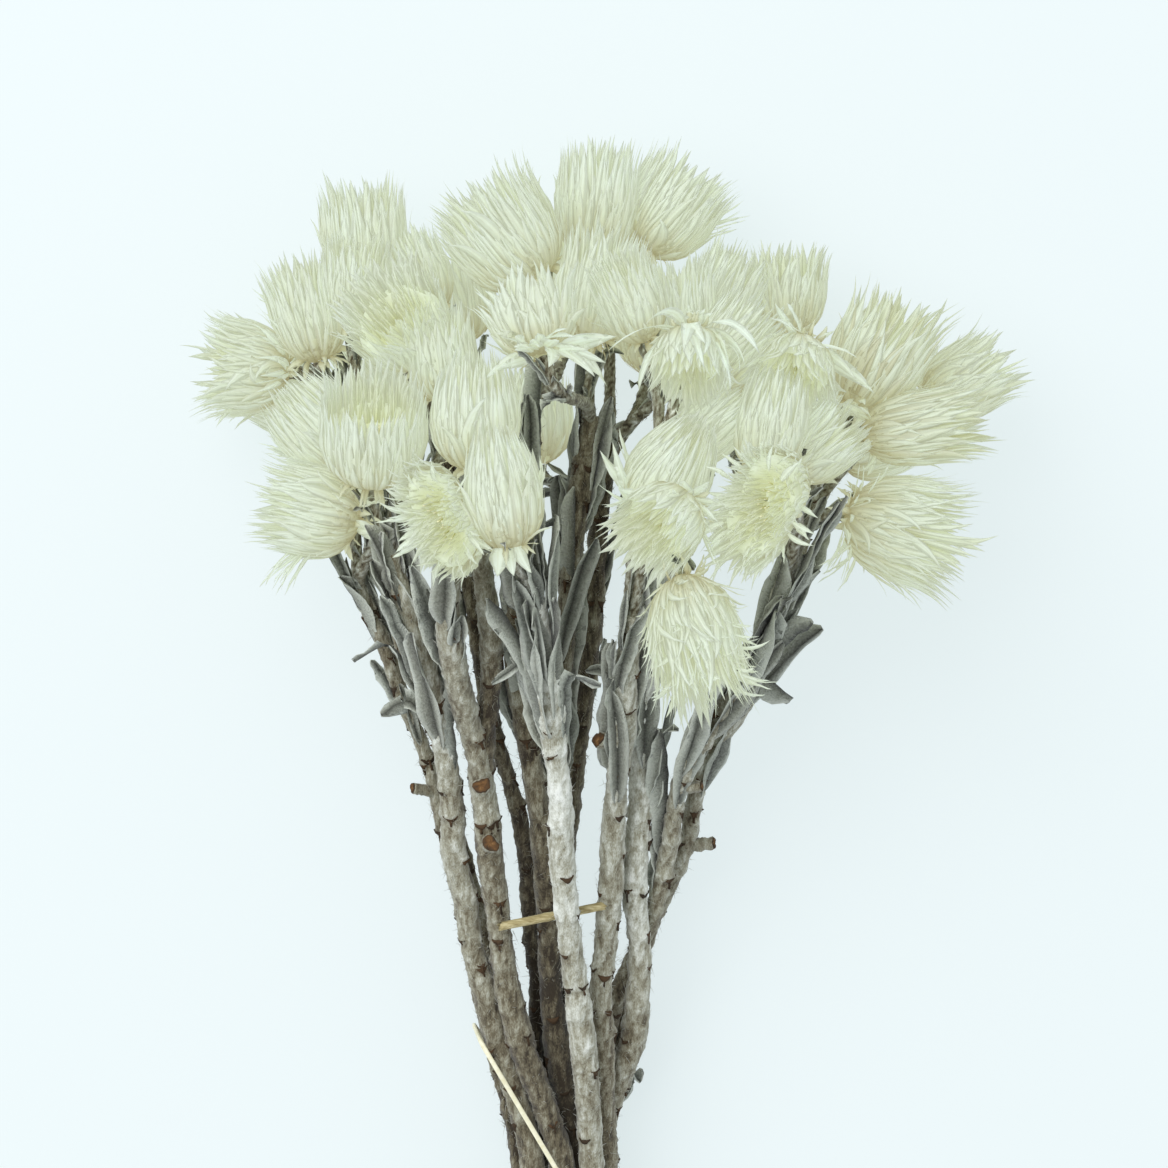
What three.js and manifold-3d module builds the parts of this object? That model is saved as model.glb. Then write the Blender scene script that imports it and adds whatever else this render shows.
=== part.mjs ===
// A tied bunch of dried everlasting heads on woolly grey stems, lying on its back on a flat surface.
// Millimetres. +Y runs from the cut stem ends to the flower heads and +Z is up, away from the surface.
import * as THREE from "three";
import Module from "manifold-3d";

const wasm = await Module();
wasm.setup();

const CLEARANCE = 0.3; // left between neighbouring pieces
const FLOOR = 0; // height of the surface that the bunch lies on

// A head is a cup of narrow bracts that overlap in rings. Heights are parts of its length, measured from its
// base, and radii are parts of its half width.
const HEAD_PROFILE = [
  { height: 0.05, radius: 0.58 },
  { height: 0.25, radius: 0.88 },
  { height: 0.48, radius: 0.98 },
  { height: 0.7, radius: 0.94 },
];
const HEAD_INSIDE = [
  { height: 0.66, radius: 0.62 },
  { height: 0.5, radius: 0.32 },
];
const RIM_TIP = { height: 1, radius: 1 }; // where the bracts on the rim end
const INNER_TIP = { height: 0.92, radius: 0.5 }; // and those inside it
const BRACT_SPACING = 9; // between the bracts of one ring, round a head that shows
const HIDDEN_SPACING = 11; // and round a head at the back
const BRACT_REACH = 1.5; // how far an outer bract runs, as part of the way from its foot to the ring above it
const BRACT_RISE = 0.05; // how far its tip is lifted off that line, as part of the half width
const HEAD_SEED = 400; // starts the small differences between the bracts

const STEM_SIDES = 6;
const STEM_STEP = 30; // distance between two swellings
const SCAR_SWELL = 0.06; // how much thicker a stem is at a swelling
const BRANCH_SIDES = 4;
const BRANCH_STEPS = 3;
const BRANCH_RADIUS = 1.9; // of the thin branch under each head
const BRANCH_START = 0.985; // part of its stem's route where the first branch leaves
const BRANCH_SPACING = 0.018; // and how much lower each further one does

const LEAF_THICKNESS = 1.6; // at its rib

// Each stem: its girth (diameter), the route of its middle from the cut foot upwards, and its felted leaves
// as the part of the route where they start, their number, length and width.
const STEMS = {
  s01: {
    girth: 8.4,
    route: [
      [5, -86, 37], [2.5, -5, 33], [0, 32, 45], [-2, 50, 51], [-5, 74, 60], [-7, 98, 68], [-7, 110, 73],
      [-9, 128, 81], [-11, 145, 89], [-13, 162, 98], [-17, 178, 107],
    ],
    leaves: { from: 0.78, count: 7, length: 36, width: 8 },
  },
  s02: {
    girth: 8.2,
    route: [
      [-19, -82, 37], [-15.5, -5, 33], [-21, 20, 37], [-26, 35, 40], [-30, 50, 44], [-34, 65, 48], [-36, 80, 53],
      [-39, 92, 57], [-40, 110, 64], [-42, 125, 71], [-45, 139, 78], [-51, 160, 84], [-58, 184, 88],
    ],
    leaves: { from: 0.86, count: 5, length: 30, width: 8 },
  },
  s03: {
    girth: 5.4,
    route: [
      [-25, -78, 27], [-20, -5, 25], [-27, 30, 26], [-32, 50, 28], [-38, 80, 37], [-42, 98, 43], [-46, 116, 48],
      [-50, 129, 51], [-54, 138, 54], [-58, 150, 58], [-63, 163, 61], [-69, 176, 64],
    ],
    leaves: { from: 0.9, count: 3, length: 24, width: 5 },
    stubs: [{ at: 0.735, side: 200, length: 5 }],
  },
  s04: {
    girth: 5.4,
    route: [
      [-13, -86, 26], [-11, -5, 25], [-19, 25, 29], [-25, 50, 33], [-32, 75, 39], [-39, 100, 48], [-43, 125, 57],
      [-46, 133, 60], [-50, 145, 63], [-55, 158, 65], [-59, 178, 62], [-62, 203, 52],
    ],
    leaves: { from: 0.86, count: 3, length: 24, width: 5 },
  },
  s05: {
    girth: 8.8,
    route: [
      [-8, -80, 38], [-6.5, -5, 33], [-19, 35, 43], [-24, 56, 47], [-26, 74, 52], [-28, 89, 57], [-30, 110, 65],
      [-32, 123, 71], [-37, 143, 84], [-40, 160, 95], [-40, 178, 104],
    ],
    fork: {
      girth: 7,
      route: [[-31, 115, 66], [-30, 128, 71], [-28, 145, 76], [-28, 160, 82], [-30, 178, 89], [-31, 192, 96]],
    },
    leaves: { from: 0.86, count: 4, length: 28, width: 8 },
    stubs: [{ at: 0.73, side: 270, length: 3 }, { at: 0.66, side: 275, length: 3 }],
  },
  s06: {
    girth: 5.6,
    route: [
      [-19, -84, 16], [-15.5, -5, 17.4], [-16, 25, 20], [-14, 50, 26], [-16, 65, 32], [-17, 85, 39], [-19, 101, 44],
      [-22, 113, 49], [-26, 126, 54], [-30, 145, 57], [-34, 170, 57], [-40, 200, 52], [-45, 228, 47],
    ],
    leaves: { from: 0.75, count: 3, length: 24, width: 5 },
  },
  s07: {
    girth: 8,
    route: [
      [-2, -84, 25], [-2, -5, 25.2], [-7, 25, 31], [-10, 50, 37], [-11, 80, 45], [-13, 101, 51], [-16, 122, 56],
      [-19, 140, 60], [-21, 158, 63], [-19, 182, 66], [-17, 206, 67], [-16, 228, 68],
    ],
    leaves: { from: 0.66, count: 5, length: 32, width: 8 },
  },
  s08: {
    girth: 8,
    route: [
      [-8, -88, 15.5], [-6.5, -5, 17.4], [-5, 25, 20], [-5, 50, 25], [-7, 65, 29], [-8, 80, 33], [-8, 101, 40],
      [-8, 122, 46], [-8, 140, 51], [-6, 158, 55], [-4, 182, 58], [-1, 206, 60], [2, 226, 62],
    ],
    leaves: { from: 0.6, count: 6, length: 32, width: 8 },
  },
  s09: {
    girth: 8.2,
    route: [
      [10, -82, 27], [7, -5, 25.2], [6, 14, 30], [5.5, 32, 35], [5, 50, 40], [6.5, 65, 44], [8, 80, 49],
      [8.5, 95, 54], [9.5, 110, 60], [11, 128, 69], [12.5, 148, 80], [14.5, 166, 88],
    ],
    leaves: { from: 0.8, count: 5, length: 28, width: 6 },
    stubs: [{ at: 0.83, side: 215, length: 5 }],
  },
  s10: {
    girth: 8.2,
    route: [
      [3.5, -80, 16.5], [2.5, -5, 17.4], [10.5, 23, 25], [15, 35, 29], [16.5, 50, 33], [17, 65, 37],
      [15.5, 80, 42], [16, 95, 46], [17, 110, 50], [17, 126, 55], [18, 142, 60], [21, 160, 68], [25, 182, 74],
      [29, 205, 74],
    ],
    leaves: { from: 0.7, count: 5, length: 30, width: 8 },
  },
  s11: {
    girth: 6.2,
    route: [
      [-4, -86, 2.6], [-3, -5, 8.9], [4, 25, 14], [10, 48, 21], [16, 62, 27], [21, 74, 33], [24, 86, 38],
      [26.5, 98, 44], [28, 110, 50], [32, 122, 57], [39, 134, 63], [46, 144, 68], [53, 158, 74], [60, 176, 79],
      [64, 190, 80],
    ],
    leaves: { from: 0.72, count: 6, length: 36, width: 8 },
    stubs: [{ at: 0.7, side: 0, length: 4 }],
  },
  s12: {
    girth: 5.8,
    route: [
      [8, -78, 2.4], [5.5, -5, 10], [11, 25, 13], [15, 50, 17], [20, 68, 22], [23, 76, 24], [29, 89, 28],
      [32, 98, 31], [34, 110, 36], [39, 125, 42], [47, 137, 46], [57, 158, 50], [64, 180, 50], [69, 204, 48],
    ],
    leaves: { from: 0.72, count: 3, length: 30, width: 7 },
    stubs: [{ at: 0.6, side: 350, length: 6 }],
  },
  s13: {
    girth: 7.4,
    route: [
      [-14, -84, 3.2], [-12, -5, 9.2], [-13, 25, 12], [-12, 50, 15], [-8, 80, 19], [-4, 110, 23], [0, 140, 27],
      [3, 170, 30], [5, 200, 31], [8, 222, 30],
    ],
    leaves: { from: 0.7, count: 3, length: 26, width: 7 },
  },
};

// Each head: the middle of its base, where it points (heading in the plan, in degrees from +X, and lift off
// the surface), its length and width, the width across its tips as part of that width, and its stem.
const HEADS = [
  { base: [-66, 266, 43], heading: 94, lift: 5, length: 31, width: 27, mouth: 1.0, stem: "s06" },
  { base: [-70, 254, 55], heading: 87, lift: 20, length: 27, width: 21, mouth: 1.0, stem: "s04" },
  { base: [-80, 243, 53], heading: 103, lift: 10, length: 31, width: 23, mouth: 1.1, stem: "s04" },
  { base: [-50, 246, 66], heading: 125, lift: 48, length: 26, width: 30, mouth: 1.25, stem: "s02" },
  { base: [-46, 257, 45], heading: 113, lift: 0, length: 26, width: 22, mouth: 1.0, stem: "s06" },
  { base: [-41, 230, 77], heading: 97, lift: 15, length: 27, width: 22, mouth: 0.95, stem: "s02" },
  { base: [-69, 211, 70], heading: 133, lift: 8, length: 30, width: 28, mouth: 0.9, stem: "s04" },
  { base: [-63, 206, 92], heading: 88, lift: 27, length: 34, width: 33, mouth: 0.95, stem: "s02" },
  { base: [-32, 209, 104], heading: 90, lift: 12, length: 33, width: 28, mouth: 0.75, stem: "s05", fork: true },
  { base: [-21.5, 186, 118], heading: 98, lift: 16, length: 35, width: 25, mouth: 0.55, stem: "s01" },
  { base: [-37, 198, 114], heading: 200, lift: 45, length: 23, width: 30, mouth: 1.25, stem: "s05" },
  { base: [-67, 194, 84], heading: 168, lift: 8, length: 30, width: 29, mouth: 0.95, stem: "s03" },
  { base: [-90, 240, 40], heading: 175, lift: 5, length: 26, width: 28, mouth: 1.2, stem: "s03" },
  { base: [-14, 266, 68], heading: 125, lift: 8, length: 35, width: 33, mouth: 1.1, stem: "s07" },
  { base: [-12, 242, 112], heading: 105, lift: -18, length: 22, width: 24, mouth: 1.4, stem: "s08" },
  { base: [2, 275, 46], heading: 84, lift: 5, length: 33.5, width: 26, mouth: 0.95, stem: "s08" },
  { base: [17, 277, 36], heading: 55, lift: 5, length: 31, width: 30, mouth: 1.0, stem: "s13" },
  { base: [2, 248, 67], heading: 80, lift: 10, length: 34, width: 27, mouth: 0.95, stem: "s08" },
  { base: [18, 248, 85], heading: 110, lift: 20, length: 26, width: 21, mouth: 1.0, stem: "s09" },
  { base: [31, 245, 68], heading: 95, lift: 12, length: 27, width: 21, mouth: 1.0, stem: "s10" },
  { base: [35, 247, 45], heading: 66, lift: 5, length: 32, width: 23, mouth: 0.95, stem: "s13" },
  { base: [36, 237, 74], heading: 50, lift: 12, length: 28, width: 24, mouth: 1.0, stem: "s10" },
  { base: [32, 250, 100], heading: 265, lift: 30, length: 22, width: 24, mouth: 1.25, stem: "s09" },
  { base: [19.5, 198, 98], heading: 60, lift: 38, length: 34, width: 29, mouth: 0.5, stem: "s09" },
  { base: [25, 212, 86], heading: 41, lift: 8, length: 31, width: 21, mouth: 1.0, stem: "s10" },
  { base: [53, 208, 92], heading: 80, lift: 14, length: 30, width: 23, mouth: 0.85, stem: "s11" },
  { base: [62, 209, 76], heading: 42, lift: 18, length: 25, width: 22, mouth: 1.0, stem: "s11" },
  { base: [58, 200, 112], heading: 197, lift: 45, length: 22, width: 30, mouth: 1.25, stem: "s11" },
  { base: [29, 199, 112], heading: 225, lift: 42, length: 25, width: 26, mouth: 1.1, stem: "s10" },
  { base: [29, 177, 116], heading: 281, lift: 22, length: 39, width: 29, mouth: 1.0, stem: "s10" },
  { base: [62, 251, 33], heading: 88, lift: 5, length: 27, width: 24, mouth: 1.0, stem: "s12" },
  { base: [66, 247, 82], heading: 250, lift: 35, length: 20, width: 22, mouth: 1.5, stem: "s12" },
  { base: [81, 229, 54], heading: 62, lift: 8, length: 34, width: 30, mouth: 1.0, stem: "s12" },
  { base: [104, 230, 34], heading: 30, lift: 3, length: 28, width: 24, mouth: 1.0, stem: "s12" },
  { base: [84, 220, 60], heading: 8, lift: 10, length: 35, width: 23, mouth: 1.0, stem: "s12" },
  { base: [79, 196, 66], heading: -14, lift: 8, length: 36, width: 32, mouth: 1.25, stem: "s11" },
  { base: [-36, 250, 17], heading: 106, lift: 3, length: 29, width: 26, mouth: 1.0, stem: "s06", hidden: true },
  { base: [-6, 258, 19], heading: 92, lift: 3, length: 30, width: 27, mouth: 0.95, stem: "s07", hidden: true },
  { base: [20, 240, 15.5], heading: 80, lift: 2, length: 29, width: 27, mouth: 1.0, stem: "s13", hidden: true },
  { base: [-56, 224, 11.6], heading: 122, lift: 0, length: 30, width: 26, mouth: 1.0, stem: "s04", hidden: true },
  { base: [50, 228, 11.6], heading: 62, lift: 0, length: 30, width: 26, mouth: 1.0, stem: "s12", hidden: true },
  { base: [78, 214, 24], heading: 24, lift: 3, length: 29, width: 25, mouth: 1.0, stem: "s12", hidden: true },
  { base: [-78, 226, 20], heading: 152, lift: 3, length: 28, width: 25, mouth: 1.0, stem: "s03", hidden: true },
  { base: [-14, 212, 16], heading: 98, lift: 2, length: 29, width: 26, mouth: 1.0, stem: "s13", hidden: true },
];

// The elastic band runs round the bunch on a slant: high on the left of the bunch, low on its right.
const BAND = { y: 23, atX: -24, slope: -1.7, width: 1.5, thickness: 1.1, steps: 36 };

// A broken straw is wedged across the stems, in front of two of them and behind the whitest.
const STRAW = { from: [-25.5, 71.5, 58], to: [6, 77.5, 51], radius: 1.35, sides: 6 };

const COLOURS = {
  head: { color: 0xf0ecd6, roughness: 0.85 },
  stem: { color: 0xb3aca0, roughness: 0.95 },
  band: { color: 0xe9dfb4, roughness: 0.6 },
  straw: { color: 0xcdb98a, roughness: 0.8 },
};

// A repeatable run of numbers from 0 to 1.
function seededNumbers(seed) {
  let state = seed * 2654435761;
  return () => {
    state = (state + 0x6d2b79f5) | 0;
    let mixed = Math.imul(state ^ (state >>> 15), 1 | state);
    mixed = (mixed + Math.imul(mixed ^ (mixed >>> 7), 61 | mixed)) ^ mixed;
    return ((mixed ^ (mixed >>> 14)) >>> 0) / 4294967296;
  };
}

const radians = THREE.MathUtils.degToRad;

function vector(point) {
  return new THREE.Vector3(...point);
}

function solidFrom(points, faces) {
  const vertProperties = new Float32Array(points.flatMap((point) => [point.x, point.y, point.z]));
  return new wasm.Manifold(new wasm.Mesh({ numProp: 3, vertProperties, triVerts: new Uint32Array(faces.flat()) }));
}

// A closed skin over rings of equally many points, with a fan at each end.
function skinOverRings(rings) {
  const sides = rings[0].length;
  const points = rings.flat();
  const faces = [];
  for (let ring = 0; ring + 1 < rings.length; ring++) {
    for (let side = 0; side < sides; side++) {
      const next = (side + 1) % sides;
      const low = ring * sides;
      faces.push([low + side, low + next, low + sides + next], [low + side, low + sides + next, low + sides + side]);
    }
  }
  const top = (rings.length - 1) * sides;
  for (let side = 1; side + 1 < sides; side++) {
    faces.push([0, side + 1, side], [top, top + side, top + side + 1]);
  }
  return solidFrom(points, faces);
}

// A tube along a curve. radiusAt gives its radius at each part of the way.
function tubeAlong(curve, steps, sides, radiusAt) {
  const frames = curve.computeFrenetFrames(steps, false);
  const rings = [];
  for (let step = 0; step <= steps; step++) {
    const middle = curve.getPointAt(step / steps);
    const radius = radiusAt(step / steps);
    const ring = [];
    for (let side = 0; side < sides; side++) {
      const turn = (2 * Math.PI * side) / sides;
      ring.push(
        middle
          .clone()
          .addScaledVector(frames.normals[step], radius * Math.cos(turn))
          .addScaledVector(frames.binormals[step], radius * Math.sin(turn)),
      );
    }
    rings.push(ring);
  }
  return skinOverRings(rings);
}

function routeCurve(route) {
  return new THREE.CatmullRomCurve3(route.map(vector), false, "centripetal");
}

function headAxis(head) {
  const flat = Math.cos(radians(head.lift));
  return new THREE.Vector3(
    flat * Math.cos(radians(head.heading)),
    flat * Math.sin(radians(head.heading)),
    Math.sin(radians(head.lift)),
  );
}

// The two directions across a head, at right angles to its axis.
function headAcross(axis) {
  const across = new THREE.Vector3(0, 0, 1).cross(axis).normalize();
  return [across, axis.clone().cross(across).normalize()];
}

// A head grows ring by ring. Each ring is turned half a step from the last, and on each triangle that points
// up between two rings stands one bract, as a slim pyramid that leans over the ring above.
function headSolid(head, seed) {
  const random = seededNumbers(seed);
  const wobble = (size) => 1 + size * (random() - 0.5);
  const count = Math.round((Math.PI * head.width) / (head.hidden ? HIDDEN_SPACING : BRACT_SPACING));
  const step = (2 * Math.PI) / count;
  const halfWidth = head.width / 2;
  const axis = headAxis(head);
  const [across, upright] = headAcross(axis);
  const base = vector(head.base);
  const points = [];
  const faces = [];

  const outward = (angle) =>
    across.clone().multiplyScalar(Math.cos(angle)).addScaledVector(upright, Math.sin(angle));
  const add = (point) => points.push(point) - 1;
  const place = (angle, { height, radius }) => {
    const opening = 1 + (head.mouth - 1) * height ** 2;
    return add(
      base
        .clone()
        .addScaledVector(axis, height * head.length)
        .addScaledVector(outward(angle), radius * opening * halfWidth),
    );
  };
  const placeRing = (ring, turn) => Array.from({ length: count }, (_, k) => place((k + turn / 2) * step, ring));
  const innerTip = (angle, tip) =>
    place(angle, { height: tip.height * wobble(0.1), radius: tip.radius * wobble(0.14) });
  const outerTip = (angle, left, right, above) => {
    const foot = points[left].clone().lerp(points[right], 0.5);
    return add(
      foot
        .lerp(points[above], BRACT_REACH * wobble(0.2))
        .addScaledVector(outward(angle), BRACT_RISE * wobble(0.6) * halfWidth),
    );
  };

  const rings = [...HEAD_PROFILE, ...HEAD_INSIDE];
  const rim = HEAD_PROFILE.length - 1;
  const middle = place(0, { height: 0, radius: 0 });
  let lower = placeRing(rings[0], 0);
  for (let k = 0; k < count; k++) faces.push([middle, lower[(k + 1) % count], lower[k]]);
  for (let tier = 0; tier + 1 < rings.length; tier++) {
    const upper = placeRing(rings[tier + 1], tier + 1);
    for (let k = 0; k < count; k++) {
      const next = (k + 1) % count;
      const angle = (k + (tier + 1) / 2 + 0.2 * (random() - 0.5)) * step;
      const tip =
        tier < rim
          ? outerTip(angle, lower[k], lower[next], upper[k])
          : innerTip(angle, tier === rim ? RIM_TIP : INNER_TIP);
      faces.push([upper[k], lower[next], upper[next]]);
      faces.push([lower[k], lower[next], tip], [lower[next], upper[k], tip], [upper[k], lower[k], tip]);
    }
    lower = upper;
  }
  const heart = place(0, { height: 0.5, radius: 0 });
  for (let k = 0; k < count; k++) faces.push([lower[k], lower[(k + 1) % count], heart]);
  return solidFrom(points, faces);
}

// The middle of a head's body, where it is widest.
function headMiddle(head) {
  return vector(head.base).addScaledVector(headAxis(head), head.length / 2);
}

// The thin branch from a stem's end to just short of a head's base.
function branchSolid(head, curve, part, grow) {
  const axis = headAxis(head);
  const start = curve.getPointAt(part);
  const end = vector(head.base).addScaledVector(axis, -CLEARANCE);
  const reach = start.distanceTo(end);
  const path = new THREE.CubicBezierCurve3(
    start,
    start.clone().addScaledVector(curve.getTangentAt(part), 0.3 * reach),
    end.clone().addScaledVector(axis, -0.4 * reach),
    end,
  );
  return tubeAlong(path, BRANCH_STEPS, BRANCH_SIDES, () => BRANCH_RADIUS + grow);
}

// A felted leaf: a slim blade that hugs its stem at the root and leans out towards its tip.
function leafSolid(curve, leaf, grow) {
  const root = curve.getPointAt(leaf.at);
  const along = curve.getTangentAt(leaf.at);
  const side = new THREE.Vector3(0, 0, 1).cross(along).normalize();
  const out = side
    .clone()
    .multiplyScalar(Math.cos(leaf.turn))
    .addScaledVector(side.clone().cross(along), Math.sin(leaf.turn));
  const flat = out.clone().cross(along);
  const shape = [
    { part: 0, out: leaf.stemRadius * 0.6, width: 0.3 },
    { part: 0.5, out: leaf.stemRadius + 0.03 * leaf.length, width: 1.0 },
    { part: 1, out: leaf.stemRadius + 0.2 * leaf.length, width: 0.16 },
  ];
  const rings = shape.map((place) => {
    const middle = root
      .clone()
      .addScaledVector(along, place.part * leaf.length + 2 * grow * (place.part - 0.5))
      .addScaledVector(out, place.out);
    const half = (place.width * leaf.width) / 2 + 3 * grow; // its edge is so sharp that it needs the most room
    return [
      middle.clone().addScaledVector(out, LEAF_THICKNESS / 2 + grow),
      middle.clone().addScaledVector(flat, -half).addScaledVector(out, -LEAF_THICKNESS / 2 - grow),
      middle.clone().addScaledVector(flat, half).addScaledVector(out, -LEAF_THICKNESS / 2 - grow),
    ];
  });
  return skinOverRings(rings);
}

// A short side twig that was cut off. Its side is an angle round the stem: 0 is right, 180 left, 270 up.
function stubSolid(curve, stub, stemRadius, grow) {
  const root = curve.getPointAt(stub.at);
  const along = curve.getTangentAt(stub.at);
  const side = new THREE.Vector3(0, 0, 1).cross(along).normalize();
  const turn = radians(stub.side);
  const out = side.clone().multiplyScalar(-Math.cos(turn)).addScaledVector(along.clone().cross(side), -Math.sin(turn));
  out.addScaledVector(along, 0.5).normalize();
  const path = new THREE.LineCurve3(root, root.clone().addScaledVector(out, stemRadius + stub.length + grow));
  return tubeAlong(path, 1, BRANCH_SIDES, () => 0.55 * stemRadius + grow);
}

// One leafy stem with its fork, side stubs, leaves and the branches to its heads. grow makes a thicker copy,
// which is what its neighbours are cut back by.
function stemSolid(name, seed, grow) {
  const stem = STEMS[name];
  const random = seededNumbers(seed);
  const radius = stem.girth / 2;
  const curve = routeCurve(stem.route);
  const steps = Math.round(curve.getLength() / STEM_STEP);
  const swell = (part) => 1 + SCAR_SWELL * Math.cos(Math.PI * part * steps) - 0.18 * part;
  const solids = [tubeAlong(curve, steps, STEM_SIDES, (part) => radius * swell(part) + grow)];
  let forkCurve = null;
  if (stem.fork) {
    forkCurve = routeCurve(stem.fork.route);
    solids.push(tubeAlong(forkCurve, 6, STEM_SIDES, (part) => (stem.fork.girth / 2) * (1 - 0.15 * part) + grow));
  }
  for (const stub of stem.stubs ?? []) solids.push(stubSolid(curve, stub, radius, grow));
  const { from, count, length, width } = stem.leaves;
  for (let k = 0; k < count; k++) {
    const leaf = {
      at: from + ((0.99 - from) * (k + 0.5)) / count,
      turn: 2.4 * k + 0.6 * random(),
      length: length * (0.8 + 0.4 * random()),
      width: width * (0.85 + 0.3 * random()),
      stemRadius: radius * 0.85,
    };
    solids.push(leafSolid(forkCurve && k % 2 ? forkCurve : curve, leaf, grow));
  }
  HEADS.filter((head) => head.stem === name).forEach((head, k) => {
    solids.push(branchSolid(head, head.fork ? forkCurve : curve, BRANCH_START - BRANCH_SPACING * k, grow));
  });
  return wasm.Manifold.union(solids);
}

// The outline that a stem makes in the slanting plane of the band, a little larger than the stem.
function bandCrossing(stem) {
  const acrossPlane = new THREE.Vector3(-BAND.slope, 1, 0);
  const ahead = (point) => point.y - (BAND.y + BAND.slope * (point.x - BAND.atX));
  const points = routeCurve(stem.route).getSpacedPoints(400);
  const after = points.findIndex((point) => ahead(point) > 0);
  const middle = points[after];
  const along = middle.clone().sub(points[after - 1]).normalize();
  const side = new THREE.Vector3(0, 0, 1).cross(along).normalize();
  const upright = along.clone().cross(side);
  const radius = (stem.girth / 2) * (1 + SCAR_SWELL) + 3 * CLEARANCE + BAND.thickness / 2;
  return Array.from({ length: 24 }, (_, k) => {
    const turn = (2 * Math.PI * k) / 24;
    const point = middle
      .clone()
      .addScaledVector(side, radius * Math.cos(turn))
      .addScaledVector(upright, radius * Math.sin(turn));
    return point.addScaledVector(along, -ahead(point) / along.dot(acrossPlane));
  });
}

// The outline of a set of flat points, counter-clockwise.
function convexOutline(points) {
  const sorted = [...points].sort((a, b) => a.x - b.x || a.y - b.y);
  const turnsLeft = (a, b, c) => (b.x - a.x) * (c.y - a.y) - (b.y - a.y) * (c.x - a.x) > 1e-9;
  const chain = (list) => {
    const kept = [];
    for (const point of list) {
      while (kept.length > 1 && !turnsLeft(kept.at(-2), kept.at(-1), point)) kept.pop();
      kept.push(point);
    }
    return kept.slice(0, -1);
  };
  return [...chain(sorted), ...chain(sorted.toReversed())];
}

function bandSolid() {
  const around = Object.values(STEMS).flatMap(bandCrossing).map((point) => new THREE.Vector2(point.x, point.z));
  const outline = new THREE.Path(convexOutline(around));
  outline.autoClose = true;
  const flat = outline.getSpacedPoints(BAND.steps).slice(0, BAND.steps);
  const loop = flat.map((p) => new THREE.Vector3(p.x, BAND.y + BAND.slope * (p.x - BAND.atX), p.y));
  const rings = loop.map((middle, k) => {
    const along = loop[(k + 1) % BAND.steps].clone().sub(loop.at(k - 1)).normalize();
    const out = new THREE.Vector3(along.z, 0, -along.x).normalize();
    const wide = out.clone().cross(along).normalize();
    const corner = (a, b) =>
      middle
        .clone()
        .addScaledVector(out, (a * BAND.thickness) / 2)
        .addScaledVector(wide, (b * BAND.width) / 2);
    return [corner(1, 1), corner(-1, 1), corner(-1, -1), corner(1, -1)];
  });
  const points = rings.flat();
  const faces = [];
  rings.forEach((_, ring) => {
    const low = ring * 4;
    const high = ((ring + 1) % BAND.steps) * 4;
    for (let side = 0; side < 4; side++) {
      const next = (side + 1) % 4;
      faces.push([low + side, low + next, high + next], [low + side, high + next, high + side]);
    }
  });
  const solid = solidFrom(points, faces);
  return solid.volume() > 0 ? solid : solidFrom(points, faces.map((face) => face.toReversed()));
}

function strawSolid() {
  const path = new THREE.LineCurve3(vector(STRAW.from), vector(STRAW.to));
  return tubeAlong(path, 2, STRAW.sides, () => STRAW.radius);
}

function crosses(a, b) {
  const one = a.boundingBox();
  const two = b.boundingBox();
  const boxesMeet = [0, 1, 2].every((k) => one.min[k] < two.max[k] && two.min[k] < one.max[k]);
  return boxesMeet && a.intersect(b).volume() > 0;
}

// The biggest of a solid's loose pieces.
function mainPiece(solid) {
  const pieces = solid.decompose();
  return pieces.reduce((best, piece) => (piece.volume() > best.volume() ? piece : best));
}

// Two heads that press on each other meet at a flat between them, with a gap.
function pressApart(solids, first, second) {
  const a = headMiddle(HEADS[first]);
  const b = headMiddle(HEADS[second]);
  const normal = b.clone().sub(a).normalize();
  const common = solids[first].intersect(solids[second]).boundingBox();
  const centre = vector(common.min).add(vector(common.max)).multiplyScalar(0.5);
  const offset = centre.dot(normal);
  const side = (sign, gap) => [normal.clone().multiplyScalar(sign).toArray(), sign * offset + gap];
  solids[first] = solids[first].trimByPlane(...side(-1, CLEARANCE / 2));
  solids[second] = solids[second].trimByPlane(...side(1, CLEARANCE / 2));
}

function buildStems() {
  const names = Object.keys(STEMS);
  const fat = names.map((name, k) => stemSolid(name, k + 1, CLEARANCE));
  const solids = [];
  names.forEach((name, k) => {
    let solid = stemSolid(name, k + 1, 0);
    for (let before = 0; before < k; before++) {
      if (crosses(solid, solids[before])) solid = solid.subtract(fat[before]);
    }
    solids.push(mainPiece(solid.trimByPlane([0, 0, 1], FLOOR)));
  });
  return { names, solids, fat };
}

function buildHeads(stems) {
  const solids = HEADS.map((head, k) => headSolid(head, HEAD_SEED + k));
  for (let first = 0; first < solids.length; first++) {
    for (let second = first + 1; second < solids.length; second++) {
      if (crosses(solids[first], solids[second])) pressApart(solids, first, second);
    }
  }
  return solids.map((whole) => {
    let solid = whole;
    stems.solids.forEach((stem, k) => {
      if (crosses(solid, stem)) solid = solid.subtract(stems.fat[k]);
    });
    return mainPiece(solid.trimByPlane([0, 0, 1], FLOOR));
  });
}

function buildStraw(fatStems) {
  return mainPiece(fatStems.reduce((solid, fat) => solid.subtract(fat), strawSolid()));
}

function meshFrom(name, solid, look) {
  const { vertProperties, triVerts } = solid.getMesh();
  const geometry = new THREE.BufferGeometry();
  geometry.setAttribute("position", new THREE.BufferAttribute(new Float32Array(vertProperties), 3));
  geometry.setIndex(new THREE.BufferAttribute(new Uint32Array(triVerts), 1));
  geometry.computeVertexNormals();
  const mesh = new THREE.Mesh(geometry, new THREE.MeshStandardMaterial({ ...look, metalness: 0, flatShading: true }));
  mesh.name = name;
  return mesh;
}

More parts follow.
